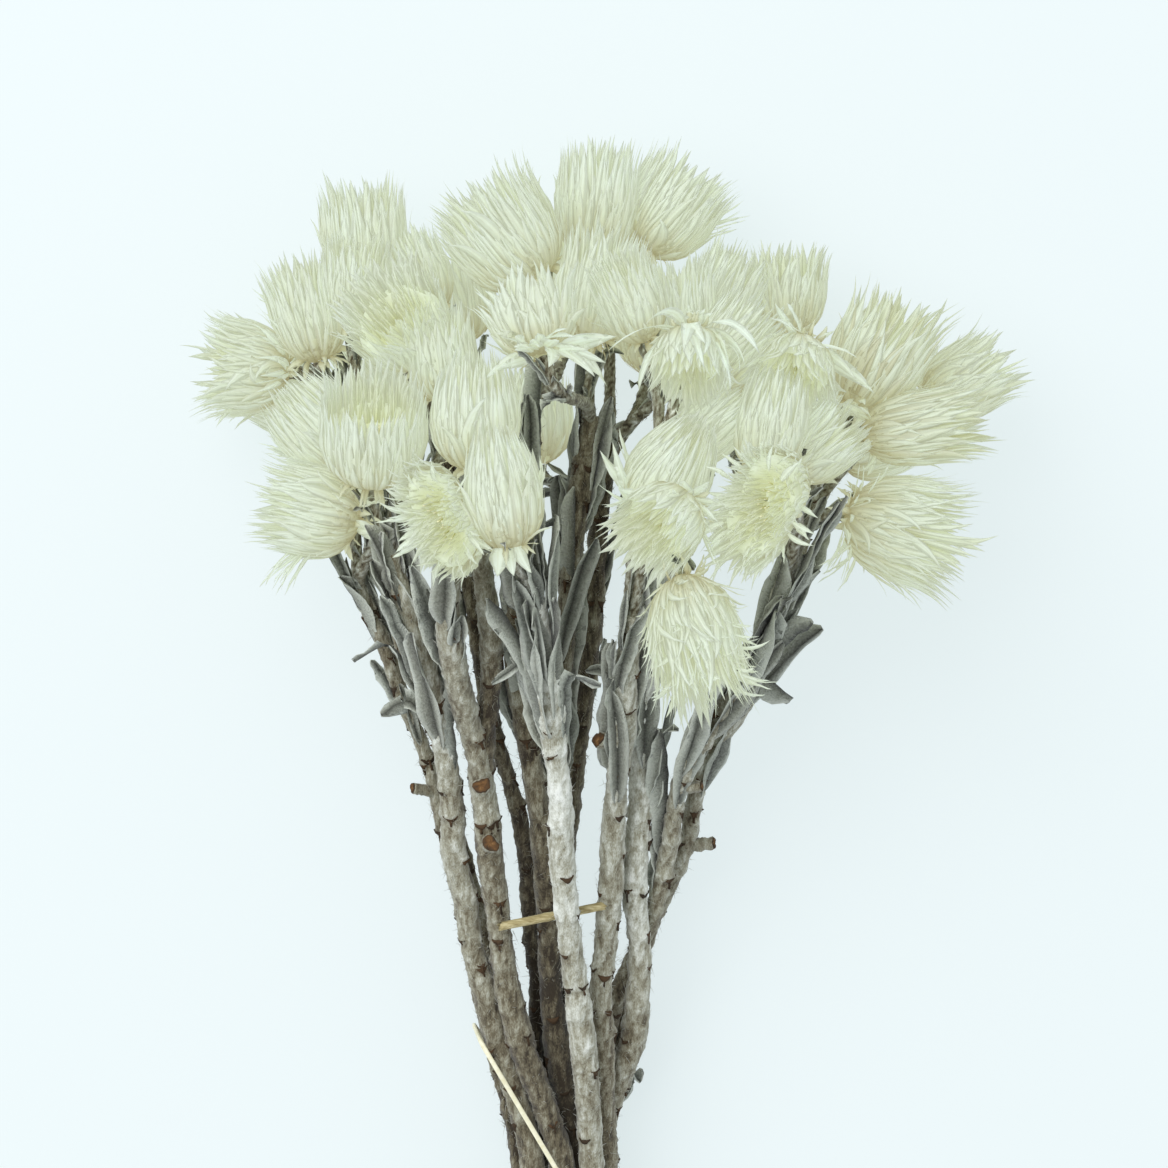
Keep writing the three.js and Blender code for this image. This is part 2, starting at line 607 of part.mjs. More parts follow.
function buildBunch() {
  const bunch = new THREE.Group();
  const stems = buildStems();
  stems.solids.forEach((solid, k) => bunch.add(meshFrom(`stem_${stems.names[k].slice(1)}`, solid, COLOURS.stem)));
  buildHeads(stems).forEach((solid, k) => {
    bunch.add(meshFrom(`head_${String(k + 1).padStart(2, "0")}`, solid, COLOURS.head));
  });
  bunch.add(meshFrom("tie_band", bandSolid(), COLOURS.band));
  bunch.add(meshFrom("loose_straw", buildStraw(stems.fat), COLOURS.straw));
  return bunch;
}

// The origin is under the middle of the bunch, on the surface.
function centredOnSurface(bunch) {
  const box = new THREE.Box3().setFromObject(bunch);
  const middle = box.getCenter(new THREE.Vector3());
  bunch.position.set(-middle.x, -middle.y, -box.min.z);
  const group = new THREE.Group();
  group.add(bunch);
  return group;
}

export default centredOnSurface(buildBunch());
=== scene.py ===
import bpy
import math
import numpy as np
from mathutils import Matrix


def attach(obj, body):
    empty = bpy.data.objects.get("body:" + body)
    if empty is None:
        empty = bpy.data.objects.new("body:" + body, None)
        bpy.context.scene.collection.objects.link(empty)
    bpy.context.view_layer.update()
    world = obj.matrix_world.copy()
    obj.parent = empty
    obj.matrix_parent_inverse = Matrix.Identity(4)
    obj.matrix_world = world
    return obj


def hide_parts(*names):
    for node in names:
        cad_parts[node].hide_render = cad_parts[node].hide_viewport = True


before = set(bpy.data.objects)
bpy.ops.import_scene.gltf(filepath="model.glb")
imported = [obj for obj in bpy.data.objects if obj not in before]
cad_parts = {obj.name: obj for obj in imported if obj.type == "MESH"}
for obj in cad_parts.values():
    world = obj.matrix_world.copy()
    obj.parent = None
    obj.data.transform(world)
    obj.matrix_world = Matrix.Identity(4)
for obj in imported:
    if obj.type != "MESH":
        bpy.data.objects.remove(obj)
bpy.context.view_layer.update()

# The bunch is laid out in millimetres, with +Y from the cut feet to the heads and +Z up.
layout = {
    "shift": (-7.7977, -111.6307, 0.0),  # from this layout to the frame's origin
    "millimetre": 0.001,  # in metres
    "seed": 11,
}
goldenTurn = math.pi * (3 - math.sqrt(5))
upward = np.array((0.0, 0.0, 1.0))


def unit(vectors):
    return vectors / np.maximum(np.linalg.norm(vectors, axis=-1, keepdims=True), 1e-9)


def blend(start, end, part):
    return start + (end - start) * part


def smoothStep(low, high, value):
    part = np.clip((value - low) / (high - low), 0, 1)
    return part * part * (3 - 2 * part)


def evenTurns(count):
    return 2 * math.pi * np.arange(count) / count


# The directions that lie at these turns from the first direction towards the second.
def turned(first, second, turns):
    return first * np.cos(turns)[..., None] + second * np.sin(turns)[..., None]


# Repeatable numbers from 0 to 1, which place the felted leaves where the bunch has them.
def seededNumbers(seed):
    state = seed * 2654435761
    whole = 0xFFFFFFFF
    while True:
        state = (state + 0x6D2B79F5) & whole
        mixed = ((state ^ (state >> 15)) * (1 | state)) & whole
        mixed = ((mixed + (((mixed ^ (mixed >> 7)) * (61 | mixed)) & whole)) & whole) ^ mixed
        yield (mixed ^ (mixed >> 14)) / 4294967296


# Soft lumps over a field of points: a few waves in seeded directions.
def softNoise(points, size, seed, waves=5):
    draw = np.random.default_rng(seed)
    total = np.zeros(points.shape[:-1])
    for _ in range(waves):
        direction = unit(draw.normal(size=3)) * (2 * math.pi / size) * draw.uniform(0.6, 1.6)
        total += np.sin(points @ direction + draw.uniform(0, 2 * math.pi))
    return total / waves


marks = ("along", "tone", "depth")  # numbers on each point, which the materials read


# A store gathers the skins of one piece: points, faces, marks, and the place of each face's material.
def newStore():
    return {"points": [], "faces": [], "finish": [], "count": 0, **{key: [] for key in marks}}


def addSkin(store, points, faces, along=0.5, tone=0.5, depth=0.0, finish=0):
    points = points.reshape(-1, 3)
    size = len(points)
    store["points"].append(points)
    store["faces"].append(faces + store["count"])
    store["finish"].append(np.full(len(faces), finish, dtype=np.int32))
    for key, value in zip(marks, (along, tone, depth)):
        store[key].append(np.broadcast_to(np.ravel(value), (size,)).astype(np.float32))
    store["count"] += size


triangleCount = {"all": 0, "most": 0}  # in the whole bunch, and in its largest piece


def makePiece(name, store, materials, node):
    points = np.concatenate(store["points"])
    points[:, 2] = np.maximum(points[:, 2], 0)  # what lies on the table is pressed flat
    points = (points + np.array(layout["shift"])) * layout["millimetre"]
    faces = np.concatenate(store["faces"]).astype(np.int32)
    triangleCount["all"] += len(faces)
    triangleCount["most"] = max(triangleCount["most"], len(faces))
    mesh = bpy.data.meshes.new(name)
    mesh.vertices.add(len(points))
    mesh.vertices.foreach_set("co", points.astype(np.float32).ravel())
    mesh.loops.add(faces.size)
    mesh.loops.foreach_set("vertex_index", faces.ravel())
    mesh.polygons.add(len(faces))
    mesh.polygons.foreach_set("loop_start", np.arange(0, faces.size, 3, dtype=np.int32))
    mesh.polygons.foreach_set("material_index", np.concatenate(store["finish"]))
    for key in marks:
        mark = mesh.attributes.new(key, "FLOAT", "POINT")
        mark.data.foreach_set("value", np.concatenate(store[key]))
    mesh.update(calc_edges=True)
    for material in materials:
        mesh.materials.append(material)
    piece = bpy.data.objects.new(name, mesh)
    bpy.context.scene.collection.objects.link(piece)
    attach(piece, "root")
    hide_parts(node)


# Faces of a skin over rings of equally many points, one after another, with a fan at each end.
def ringFaces(rings, sides, closedEnds=True):
    side = np.arange(sides)
    after = (side + 1) % sides
    faces = []
    for low in range(0, (rings - 1) * sides, sides):
        faces.append(np.stack([low + side, low + after, low + sides + after], 1))
        faces.append(np.stack([low + side, low + sides + after, low + sides + side], 1))
    if closedEnds:
        inner = np.arange(1, sides - 1)
        top = (rings - 1) * sides
        faces.append(np.stack([0 * inner, inner + 1, inner], 1))
        faces.append(np.stack([top + 0 * inner, top + inner, top + inner + 1], 1))
    return np.concatenate(faces)


# The faces of many alike skins, each with as many points as size says.
def repeatFaces(faces, count, size):
    return (faces[None, :, :] + (np.arange(count) * size)[:, None, None]).reshape(-1, 3)


# A route is a row of evenly spaced places, with the direction at each and the length of all.
def evenRoute(dense, spacing=1.0, steps=None):
    lengths = np.concatenate([[0], np.cumsum(np.linalg.norm(np.diff(dense, axis=0), axis=1))])
    steps = steps or max(3, round(lengths[-1] / spacing))
    wanted = np.linspace(0, lengths[-1], steps + 1)
    points = np.stack([np.interp(wanted, lengths, dense[:, k]) for k in range(3)], 1)
    return {"points": points, "directions": unit(np.gradient(points, axis=0)), "length": lengths[-1]}


# A smooth curve through the given points.
def smoothRoute(given, spacing=1.0):
    knots = np.array(given, dtype=float)
    knots = np.vstack([2 * knots[0] - knots[1], knots, 2 * knots[-1] - knots[-2]])
    dense = []
    for k in range(1, len(knots) - 2):
        p0, p1, p2, p3 = knots[k - 1:k + 3]
        d0, d1, d2 = (math.sqrt(np.linalg.norm(b - a)) for a, b in ((p0, p1), (p1, p2), (p2, p3)))
        t1 = ((p1 - p0) / d0 - (p2 - p0) / (d0 + d1) + (p2 - p1) / d1) * d1
        t2 = ((p2 - p1) / d1 - (p3 - p1) / (d1 + d2) + (p3 - p2) / d2) * d1
        t = np.linspace(0, 1, 33)[:-1, None]
        dense.append(
            (2 * t**3 - 3 * t**2 + 1) * p1 + (t**3 - 2 * t**2 + t) * t1
            + (-2 * t**3 + 3 * t**2) * p2 + (t**3 - t**2) * t2
        )
    return evenRoute(np.vstack([*dense, knots[-2:-1]]), spacing)


# A curve from start to end that two guides pull towards them.
def guidedRoute(start, firstGuide, secondGuide, end, spacing):
    t = np.linspace(0, 1, 41)[:, None]
    near = (1 - t)**3 * start + 3 * (1 - t)**2 * t * firstGuide
    return evenRoute(near + 3 * (1 - t) * t**2 * secondGuide + t**3 * end, spacing)


def placeOn(route, part):
    at = part * (len(route["points"]) - 1)
    low = min(int(at), len(route["points"]) - 2)
    point = blend(route["points"][low], route["points"][low + 1], at - low)
    return point, route["directions"][round(at)]


# Two directions across a route that turn as little as they can.
def carriedAcross(directions):
    side = unit(np.cross(upward, directions[0]))
    sides = []
    for direction in directions:
        side = unit(side - direction * (side @ direction))
        sides.append(side)
    sides = np.array(sides)
    return sides, np.cross(directions, sides)


# A tube along a route. radii has one row for each place and one column for each side.
def tubePoints(route, radii):
    sides, uprights = carriedAcross(route["directions"])
    outward = turned(sides[:, None, :], uprights[:, None, :], evenTurns(radii.shape[1]))
    return route["points"][:, None, :] + outward * radii[:, :, None]


def leafSet(start, count, length, width, sleeves=3, over=(0.78, 0.95)):
    return {
        "from": start, "count": count, "length": length, "width": width, "sleeves": sleeves, "over": over,
    }


# Each stem: its girth, how thick its wool is and the route of its middle from the cut foot upwards. Places
# on it are parts of its length. leafSet has where its felted leaves begin, how many spread ones there are,
# their length and width, how many more lie close along it and over which part. sheath is where its felt
# swells and by how much. Each grown leaf has its place, its turn round the stem (0 is left, a quarter turn
# away from the camera, half a turn right), length, width, spring and hook, as stemLeaf says. Each stub has
# its place, its side in degrees and its length.
stems = {
    "s01": {
        "girth": 8.4, "wool": 0.83,
        "route": [
            [5, -86, 37], [2.5, -5, 33], [0, 32, 45], [-2, 50, 51], [-5, 74, 60], [-7, 98, 68], [-7, 110, 73],
            [-9, 128, 81], [-11, 145, 89], [-13, 162, 98], [-17, 178, 107],
        ],
        "leaves": leafSet(0.78, 7, 36, 8),
        "sheath": (0.84, 0.34),
        "grown": [
            (0.8, 5.3, 50, 11, 0.1, 0.0), (0.82, 4.3, 44, 10, 0.12, 0.0), (0.79, 3.6, 30, 7, 0.2, 0.3),
            (0.84, 6.0, 40, 9, 0.28, 0.0), (0.86, 4.8, 34, 10, 0.2, 0.15), (0.78, 0.2, 34, 8, 0.16, 0.0),
        ],
    },
    "s02": {
        "girth": 8.2, "wool": 0.62,
        "route": [
            [-19, -82, 37], [-15.5, -5, 33], [-21, 20, 37], [-26, 35, 40], [-30, 50, 44], [-34, 65, 48],
            [-36, 80, 53], [-39, 92, 57], [-40, 110, 64], [-42, 125, 71], [-45, 139, 78], [-51, 160, 84],
            [-58, 184, 88],
        ],
        "leaves": leafSet(0.86, 5, 30, 8),
        "sheath": (0.88, 0.2),
        "grown": [
            (0.78, 4.9, 42, 9, 0.06, 0.0), (0.82, 0.3, 30, 8, 0.3, 0.35), (0.74, 3.9, 34, 7, 0.06, 0.0),
            (0.8, 0.2, 13, 7, 0.6, 0.5),
        ],
    },
    "s03": {
        "girth": 5.4, "wool": 0.5,
        "route": [
            [-25, -78, 27], [-20, -5, 25], [-27, 30, 26], [-32, 50, 28], [-38, 80, 37], [-42, 98, 43],
            [-46, 116, 48], [-50, 129, 51], [-54, 138, 54], [-58, 150, 58], [-63, 163, 61], [-69, 176, 64],
        ],
        "leaves": leafSet(0.9, 3, 24, 5),
        "stubs": [(0.735, 200, 5)],
    },
    "s04": {
        "girth": 5.4, "wool": 0.45,
        "route": [
            [-13, -86, 26], [-11, -5, 25], [-19, 25, 29], [-25, 50, 33], [-32, 75, 39], [-39, 100, 48],
            [-43, 125, 57], [-46, 133, 60], [-50, 145, 63], [-55, 158, 65], [-59, 178, 62], [-62, 203, 52],
        ],
        "leaves": leafSet(0.86, 3, 24, 5),
    },
    "s05": {
        "girth": 8.8, "wool": 0.55,
        "route": [
            [-8, -80, 38], [-6.5, -5, 33], [-19, 35, 43], [-24, 56, 47], [-26, 74, 52], [-28, 89, 57],
            [-30, 110, 65], [-32, 123, 71], [-37, 143, 84], [-40, 160, 95], [-40, 178, 104],
        ],
        "fork": {
            "girth": 7,
            "route": [
                [-31, 115, 66], [-30, 128, 71], [-28, 145, 76], [-28, 160, 82], [-30, 178, 89],
                [-31, 192, 96],
            ],
        },
        "leaves": leafSet(0.86, 4, 28, 8),
        "stubs": [(0.73, 270, 3), (0.66, 275, 3)],
    },
    "s06": {
        "girth": 5.6, "wool": 0.35,
        "route": [
            [-19, -84, 16], [-15.5, -5, 17.4], [-16, 25, 20], [-14, 50, 26], [-16, 65, 32], [-17, 85, 39],
            [-19, 101, 44], [-22, 113, 49], [-26, 126, 54], [-30, 145, 57], [-34, 170, 57], [-40, 200, 52],
            [-45, 228, 47],
        ],
        "leaves": leafSet(0.75, 3, 24, 5, 1, (0.8, 0.95)),
    },
    "s07": {
        "girth": 8, "wool": 0.42,
        "route": [
            [-2, -84, 25], [-2, -5, 25.2], [-7, 25, 31], [-10, 50, 37], [-11, 80, 45], [-13, 101, 51],
            [-16, 122, 56], [-19, 140, 60], [-21, 158, 63], [-19, 182, 66], [-17, 206, 67], [-16, 228, 68],
        ],
        "leaves": leafSet(0.66, 5, 32, 8, 8, (0.66, 0.92)),
    },
    "s08": {
        "girth": 8, "wool": 0.4,
        "route": [
            [-8, -88, 15.5], [-6.5, -5, 17.4], [-5, 25, 20], [-5, 50, 25], [-7, 65, 29], [-8, 80, 33],
            [-8, 101, 40], [-8, 122, 46], [-8, 140, 51], [-6, 158, 55], [-4, 182, 58], [-1, 206, 60],
            [2, 226, 62],
        ],
        "leaves": leafSet(0.6, 6, 32, 8, 9, (0.66, 0.92)),
    },
    "s09": {
        "girth": 8.2, "wool": 0.66,
        "route": [
            [10, -82, 27], [7, -5, 25.2], [6, 14, 30], [5.5, 32, 35], [5, 50, 40], [6.5, 65, 44], [8, 80, 49],
            [8.5, 95, 54], [9.5, 110, 60], [11, 128, 69], [12.5, 148, 80], [14.5, 166, 88],
        ],
        "leaves": leafSet(0.8, 5, 28, 6),
        "sheath": (0.86, 0.2),
        "grown": [(0.76, 4.6, 40, 9, 0.08, 0.0), (0.8, 5.6, 34, 8, 0.1, 0.0)],
        "stubs": [(0.83, 215, 5)],
    },
    "s10": {
        "girth": 8.2, "wool": 0.82,
        "route": [
            [3.5, -80, 16.5], [2.5, -5, 17.4], [10.5, 23, 25], [15, 35, 29], [16.5, 50, 33], [17, 65, 37],
            [15.5, 80, 42], [16, 95, 46], [17, 110, 50], [17, 126, 55], [18, 142, 60], [21, 160, 68],
            [25, 182, 74], [29, 205, 74],
        ],
        "leaves": leafSet(0.7, 5, 30, 8),
        "sheath": (0.78, 0.22),
        "grown": [
            (0.7, 4.4, 44, 10, 0.06, 0.0), (0.74, 5.2, 40, 9, 0.1, 0.0), (0.66, 3.6, 30, 8, 0.1, 0.2),
            (0.64, 2.9, 44, 11, 0.14, 0.0),
        ],
    },
    "s11": {
        "girth": 6.2, "wool": 0.6,
        "route": [
            [-4, -86, 2.6], [-3, -5, 8.9], [4, 25, 14], [10, 48, 21], [16, 62, 27], [21, 74, 33],
            [24, 86, 38], [26.5, 98, 44], [28, 110, 50], [32, 122, 57], [39, 134, 63], [46, 144, 68],
            [53, 158, 74], [60, 176, 79], [64, 190, 80],
        ],
        "leaves": leafSet(0.72, 6, 36, 8),
        "sheath": (0.78, 0.3),
        "grown": [
            (0.68, 4.4, 50, 10, 0.06, 0.0), (0.72, 5.0, 52, 10, 0.08, 0.0), (0.76, 4.0, 44, 9, 0.1, 0.0),
            (0.8, 5.6, 40, 9, 0.14, 0.0), (0.74, 3.4, 36, 8, 0.1, 0.0), (0.3, 3.5, 13, 7, 0.12, 0.3),
            (0.62, 0.2, 44, 12, 0.16, 0.0), (0.58, 5.9, 36, 9, 0.08, 0.0),
        ],
        "stubs": [(0.7, 0, 4)],
    },
    "s12": {
        "girth": 5.8, "wool": 0.6,
        "route": [
            [8, -78, 2.4], [5.5, -5, 10], [11, 25, 13], [15, 50, 17], [20, 68, 22], [23, 76, 24],
            [29, 89, 28], [32, 98, 31], [34, 110, 36], [39, 125, 42], [47, 137, 46], [57, 158, 50],
            [64, 180, 50], [69, 204, 48],
        ],
        "leaves": leafSet(0.72, 3, 30, 7),
        "sheath": (0.76, 0.3),
        "grown": [
            (0.66, 3.9, 44, 10, 0.08, 0.0), (0.7, 3.2, 40, 9, 0.12, 0.3), (0.74, 4.6, 44, 9, 0.08, 0.0),
            (0.31, 3.4, 14, 7, 0.12, 0.3),
        ],
        "stubs": [(0.6, 350, 6)],
    },
    "s13": {
        "girth": 7.4, "wool": 0.3,
        "route": [
            [-14, -84, 3.2], [-12, -5, 9.2], [-13, 25, 12], [-12, 50, 15], [-8, 80, 19], [-4, 110, 23],
            [0, 140, 27], [3, 170, 30], [5, 200, 31], [8, 222, 30],
        ],
        "leaves": leafSet(0.7, 3, 26, 7),
    },
}


# What a head has where its own row says nothing else.
headDefaults = {
    "bract": 3.3,  # width of one bract
    "loose": 0.03,  # share of bracts that have sprung open
    "wild": 1.0,  # how far tufts of bracts lean apart
    "crowd": 1.0,  # how many bracts there are, as part of the usual number
    "outerShare": 0.62,  # of the bracts; the rest stand inside the rim
    "hollow": 0.15,  # how wide the ring of the innermost bracts is, as part of the head
    "dome": 0.09,  # how far the bracts inside rise above the rim
    "aged": 0.0,  # how much darker its oldest bracts are
    "oval": (0.0, 0),  # how much wider it is one way than the other, and at which angle
    "sprays": (),  # its broad bracts
    "fork": False,  # grows on its stem's fork
    "bare": False,  # has no leaves under it
    "hidden": False,  # lies at the back of the bunch
}


# Each head: the middle of its base, its heading in the plan and its lift in degrees, its length and width,
# the width of its mouth as part of that, and its stem.
def flowerHead(base, heading, lift, length, width, mouth, stem, **more):
    return {
        **headDefaults, "base": np.array(base, dtype=float), "heading": math.radians(heading),
        "lift": math.radians(lift), "length": length, "width": width, "mouth": mouth, "stem": stem, **more,
    }


# Broad bracts that stand away from a head. around is where they grow, in degrees: 0 is on the left as the
# head points, 90 on top, 180 on the right and 270 below. foot is how far up the head they start. opened is
# how far they lean out from the head's own direction, and curl how much further they bend on the way to
# their tips. pale is how light they are.
def spray(count, around, foot, opened, curl, length, width, pale=0.85):
    return {
        "count": count, "around": around, "foot": foot, "opened": opened, "curl": curl, "length": length,
        "width": width, "pale": pale,
    }


heads = [
    flowerHead((-66, 266, 43), 94, 5, 31, 27, 1.0, "s06"),
    flowerHead((-70, 254, 55), 87, 20, 27, 21, 1.0, "s04"),
    flowerHead((-80, 243, 53), 103, 10, 31, 23, 1.1, "s04", sprays=[
        spray(6, (-40, 30), (0.3, 0.7), (18, 35), 15, (9, 12), 1.2),
    ]),
    flowerHead((-50, 246, 66), 125, 48, 26, 30, 1.2, "s02", wild=1.6, dome=0.0, outerShare=0.5),
    flowerHead((-46, 257, 45), 113, 0, 26, 22, 1.0, "s06"),
    flowerHead((-41, 230, 77), 97, 15, 27, 22, 0.95, "s02"),
    flowerHead((-69, 211, 70), 133, 8, 30, 28, 0.9, "s04", sprays=[
        spray(8, (-30, 40), (0.2, 0.6), (18, 34), 10, (9, 13), 1.4),
    ]),
    flowerHead((-63, 206, 92), 88, 34, 33, 33, 0.95, "s02", hollow=0.5, dome=0.0, sprays=[
        spray(14, (0, 180), (0.0, 0.05), (110, 160), 30, (5, 8), 1.3, 0.3),
    ]),
    flowerHead((-32, 209, 104), 90, 12, 33, 29, 0.75, "s05", wild=0.8, fork=True, sprays=[
        spray(8, (165, 195), (0.3, 0.6), (10, 22), -12, (11, 16), 1.3),
    ]),
    flowerHead((-21.5, 186, 118), 98, 16, 35, 26, 0.6, "s01", bract=4.2, wild=0.5, sprays=[
        spray(3, (55, 130), (0.03, 0.06), (145, 165), -10, (8, 10), 5.4),
        spray(6, (165, 205), (0.12, 0.4), (18, 34), -25, (11, 15), 2.0),
        spray(3, (-20, 20), (0.1, 0.3), (20, 35), -20, (8, 11), 1.6),
    ]),
    flowerHead((-38, 196, 114), 205, 60, 16, 25, 1.15, "s05",
               bract=2.4, crowd=1.5, wild=1.8, dome=0.0, outerShare=0.4, oval=(0.4, 0), sprays=[
        spray(22, (0, 360), (0.3, 0.8), (45, 85), 20, (7, 10), 2.0),
    ]),
    flowerHead((-67, 194, 84), 168, 8, 30, 29, 0.95, "s03", loose=0.05, sprays=[
        spray(13, (-25, 25), (0.35, 0.6), (35, 62), 25, (13, 18), 1.6),
        spray(8, (30, 170), (0.0, 0.12), (110, 165), 30, (7, 10), 3.0),
    ]),
    flowerHead((-90, 240, 40), 175, 5, 26, 28, 1.2, "s03", loose=0.1, wild=2.2, aged=0.3, sprays=[
        spray(13, (30, 150), (0.0, 0.08), (60, 95), -60, (13, 19), 2.0),
        spray(9, (-60, 20), (0.3, 0.7), (20, 42), 20, (9, 12), 1.2),
    ]),
    flowerHead((-14, 266, 68), 125, 8, 35, 33, 1.1, "s07", sprays=[
        spray(9, (100, 200), (0.0, 0.05), (110, 160), 20, (4, 6), 1.6, 0.2),
        spray(5, (165, 195), (0.5, 0.8), (15, 30), 30, (8, 11), 1.3),
    ]),
    flowerHead((-12, 242, 112), 105, -18, 22, 24, 1.4, "s08", bract=4.2, loose=0.12, wild=2.0, sprays=[
        spray(12, (95, 200), (0.0, 0.12), (85, 140), 25, (14, 21), 5.4, 1.0),
        spray(9, (10, 95), (0.0, 0.15), (60, 110), 20, (10, 15), 4.2, 1.0),
    ]),
    flowerHead((2, 275, 46), 84, 5, 33.5, 26, 0.95, "s08"),
    flowerHead((17, 277, 36), 55, 5, 31, 30, 1.0, "s13", sprays=[
        spray(10, (165, 215), (0.2, 0.6), (28, 48), -10, (12, 16), 1.2),
    ]),
    flowerHead((2, 248, 67), 80, 10, 34, 27, 0.95, "s08", sprays=[
        spray(9, (40, 200), (0.0, 0.05), (110, 160), 20, (4, 7), 1.8, 0.15),
    ]),
    flowerHead((18, 248, 85), 110, 20, 26, 21, 1.0, "s09"),
    flowerHead((31, 245, 68), 95, 12, 27, 21, 1.0, "s10"),
    flowerHead((35, 247, 45), 66, 5, 32, 23, 0.95, "s13"),
    flowerHead((36, 237, 74), 50, 12, 28, 24, 1.0, "s10", sprays=[
        spray(8, (160, 210), (0.3, 0.7), (20, 40), 15, (8, 11), 1.3),
    ]),
    flowerHead((32, 250, 100), 265, 30, 20, 22, 1.1, "s09",
               bract=3.6, loose=0.1, wild=1.8, bare=True, sprays=[
        spray(14, (0, 180), (0.0, 0.12), (50, 95), -85, (20, 28), 4.6, 1.0),
        spray(12, (0, 360), (0.0, 0.03), (90, 125), -15, (6, 10), 3.6, 0.9),
    ]),
    flowerHead((19.5, 198, 98), 60, 38, 34, 29, 0.5, "s09", bract=3.7, sprays=[
        spray(9, (-30, 60), (0.0, 0.08), (40, 72), -15, (17, 22), 4.4, 1.0),
    ]),
    flowerHead((25, 212, 86), 41, 8, 31, 21, 1.0, "s10"),
    flowerHead((53, 208, 92), 80, 14, 30, 23, 0.85, "s11"),
    flowerHead((62, 209, 76), 42, 18, 25, 22, 1.0, "s11"),
    flowerHead((58, 200, 112), 200, 58, 20, 28, 1.25, "s11",
               bract=2.5, crowd=1.4, wild=1.8, dome=0.0, outerShare=0.4, oval=(0.33, -50), sprays=[
        spray(26, (0, 360), (0.3, 0.8), (45, 85), 20, (7, 11), 2.0),
    ]),
    flowerHead((29, 199, 112), 225, 42, 23, 25, 1.1, "s10",
               bract=3.4, loose=0.08, wild=1.8, dome=0.0, outerShare=0.45, sprays=[
        spray(15, (-60, 240), (0.0, 0.1), (35, 72), -10, (15, 22), 5.0, 1.0),
    ]),
    flowerHead((29, 177, 116), 281, 22, 38, 27, 1.0, "s10",
               bract=2.6, crowd=1.2, loose=0.35, wild=3.0, sprays=[
        spray(30, (-60, 60), (0.2, 0.9), (25, 60), 45, (8, 13), 2.0),
        spray(24, (60, 240), (0.3, 0.95), (20, 50), 40, (7, 11), 2.0),
        spray(12, (30, 160), (0.0, 0.5), (8, 22), -15, (18, 26), 4.0),
    ]),
    flowerHead((62, 251, 33), 88, 5, 27, 24, 1.0, "s12", wild=2.0, aged=0.3),
    flowerHead((66, 247, 82), 250, 35, 19, 22, 1.4, "s12", bract=3.6, loose=0.1, wild=2.0, bare=True, sprays=[
        spray(16, (-40, 220), (0.0, 0.15), (40, 100), -20, (15, 22), 4.4, 1.0),
        spray(10, (0, 360), (0.0, 0.03), (90, 125), -15, (6, 10), 3.4, 0.9),
    ]),
    flowerHead((81, 229, 54), 62, 8, 34, 30, 1.0, "s12", wild=2.2, aged=0.7, sprays=[
        spray(16, (20, 200), (0.0, 0.15), (70, 150), 50, (7, 11), 2.6, 0.6),
    ]),
    flowerHead((104, 230, 34), 30, 3, 28, 24, 1.0, "s12", wild=2.4, aged=0.4),
    flowerHead((84, 220, 60), 8, 10, 35, 23, 1.0, "s12", wild=2.2, aged=0.6, sprays=[
        spray(14, (0, 180), (0.0, 0.12), (80, 150), 50, (7, 11), 2.8, 0.6),
    ]),
    flowerHead((79, 196, 66), -14, 8, 35, 31, 1.2, "s11", bract=2.6, loose=0.1, wild=2.4, aged=0.3, sprays=[
        spray(15, (120, 260), (0.0, 0.25), (60, 125), 20, (12, 18), 2.2),
        spray(7, (0, 100), (0.0, 0.2), (40, 90), 10, (9, 13), 2.2),
    ]),
    flowerHead((-36, 250, 17), 106, 3, 29, 26, 1.0, "s06", hidden=True),
    flowerHead((-6, 258, 19), 92, 3, 30, 27, 0.95, "s07", hidden=True),
    flowerHead((20, 240, 15.5), 80, 2, 29, 27, 1.0, "s13", hidden=True),
    flowerHead((-56, 224, 11.6), 122, 0, 30, 26, 1.0, "s04", hidden=True),
    flowerHead((50, 228, 11.6), 62, 0, 30, 26, 1.0, "s12", hidden=True),
    flowerHead((78, 214, 24), 24, 3, 29, 25, 1.0, "s12", hidden=True),
    flowerHead((-78, 226, 20), 152, 3, 28, 25, 1.0, "s03", hidden=True),
    flowerHead((-14, 212, 16), 98, 2, 29, 26, 1.0, "s13", hidden=True),
]


# A head's own direction, and two directions across it.
def headDirections(head):
    flat, rising = math.cos(head["lift"]), math.sin(head["lift"])
    axis = np.array((flat * math.cos(head["heading"]), flat * math.sin(head["heading"]), rising))
    across = unit(np.cross(upward, axis))
    return axis, across, np.cross(axis, across)


print("layout ready:", len(stems), "stems and", len(heads), "heads")


# Materials. Colours are given as they look on screen.
def screenColour(text):
    parts = [int(text[k:k + 2], 16) / 255 for k in (1, 3, 5)]
    return (*[c / 12.92 if c <= 0.04045 else ((c + 0.055) / 1.055) ** 2.4 for c in parts], 1.0)


def newMaterial(name):
    material = bpy.data.materials.new(name)
    material.use_nodes = True
    material.node_tree.nodes.clear()
    return material, material.node_tree


def markNode(tree, name):
    node = tree.nodes.new("ShaderNodeAttribute")
    node.attribute_name = name
    return node.outputs["Fac"]


def rampNode(tree, source, stops):
    node = tree.nodes.new("ShaderNodeValToRGB")
    while len(node.color_ramp.elements) < len(stops):
        node.color_ramp.elements.new(0.5)
    for element, (place, colour) in zip(node.color_ramp.elements, stops):
        element.position = place
        element.color = screenColour(colour)
    tree.links.new(source, node.inputs["Fac"])
    return node.outputs["Color"]


# A socket takes a colour, a number or what another node gives.
def feed(tree, socket, value):
    if isinstance(value, str):
        socket.default_value = screenColour(value)
    elif isinstance(value, (int, float)):
        socket.default_value = value
    else:
        tree.links.new(value, socket)


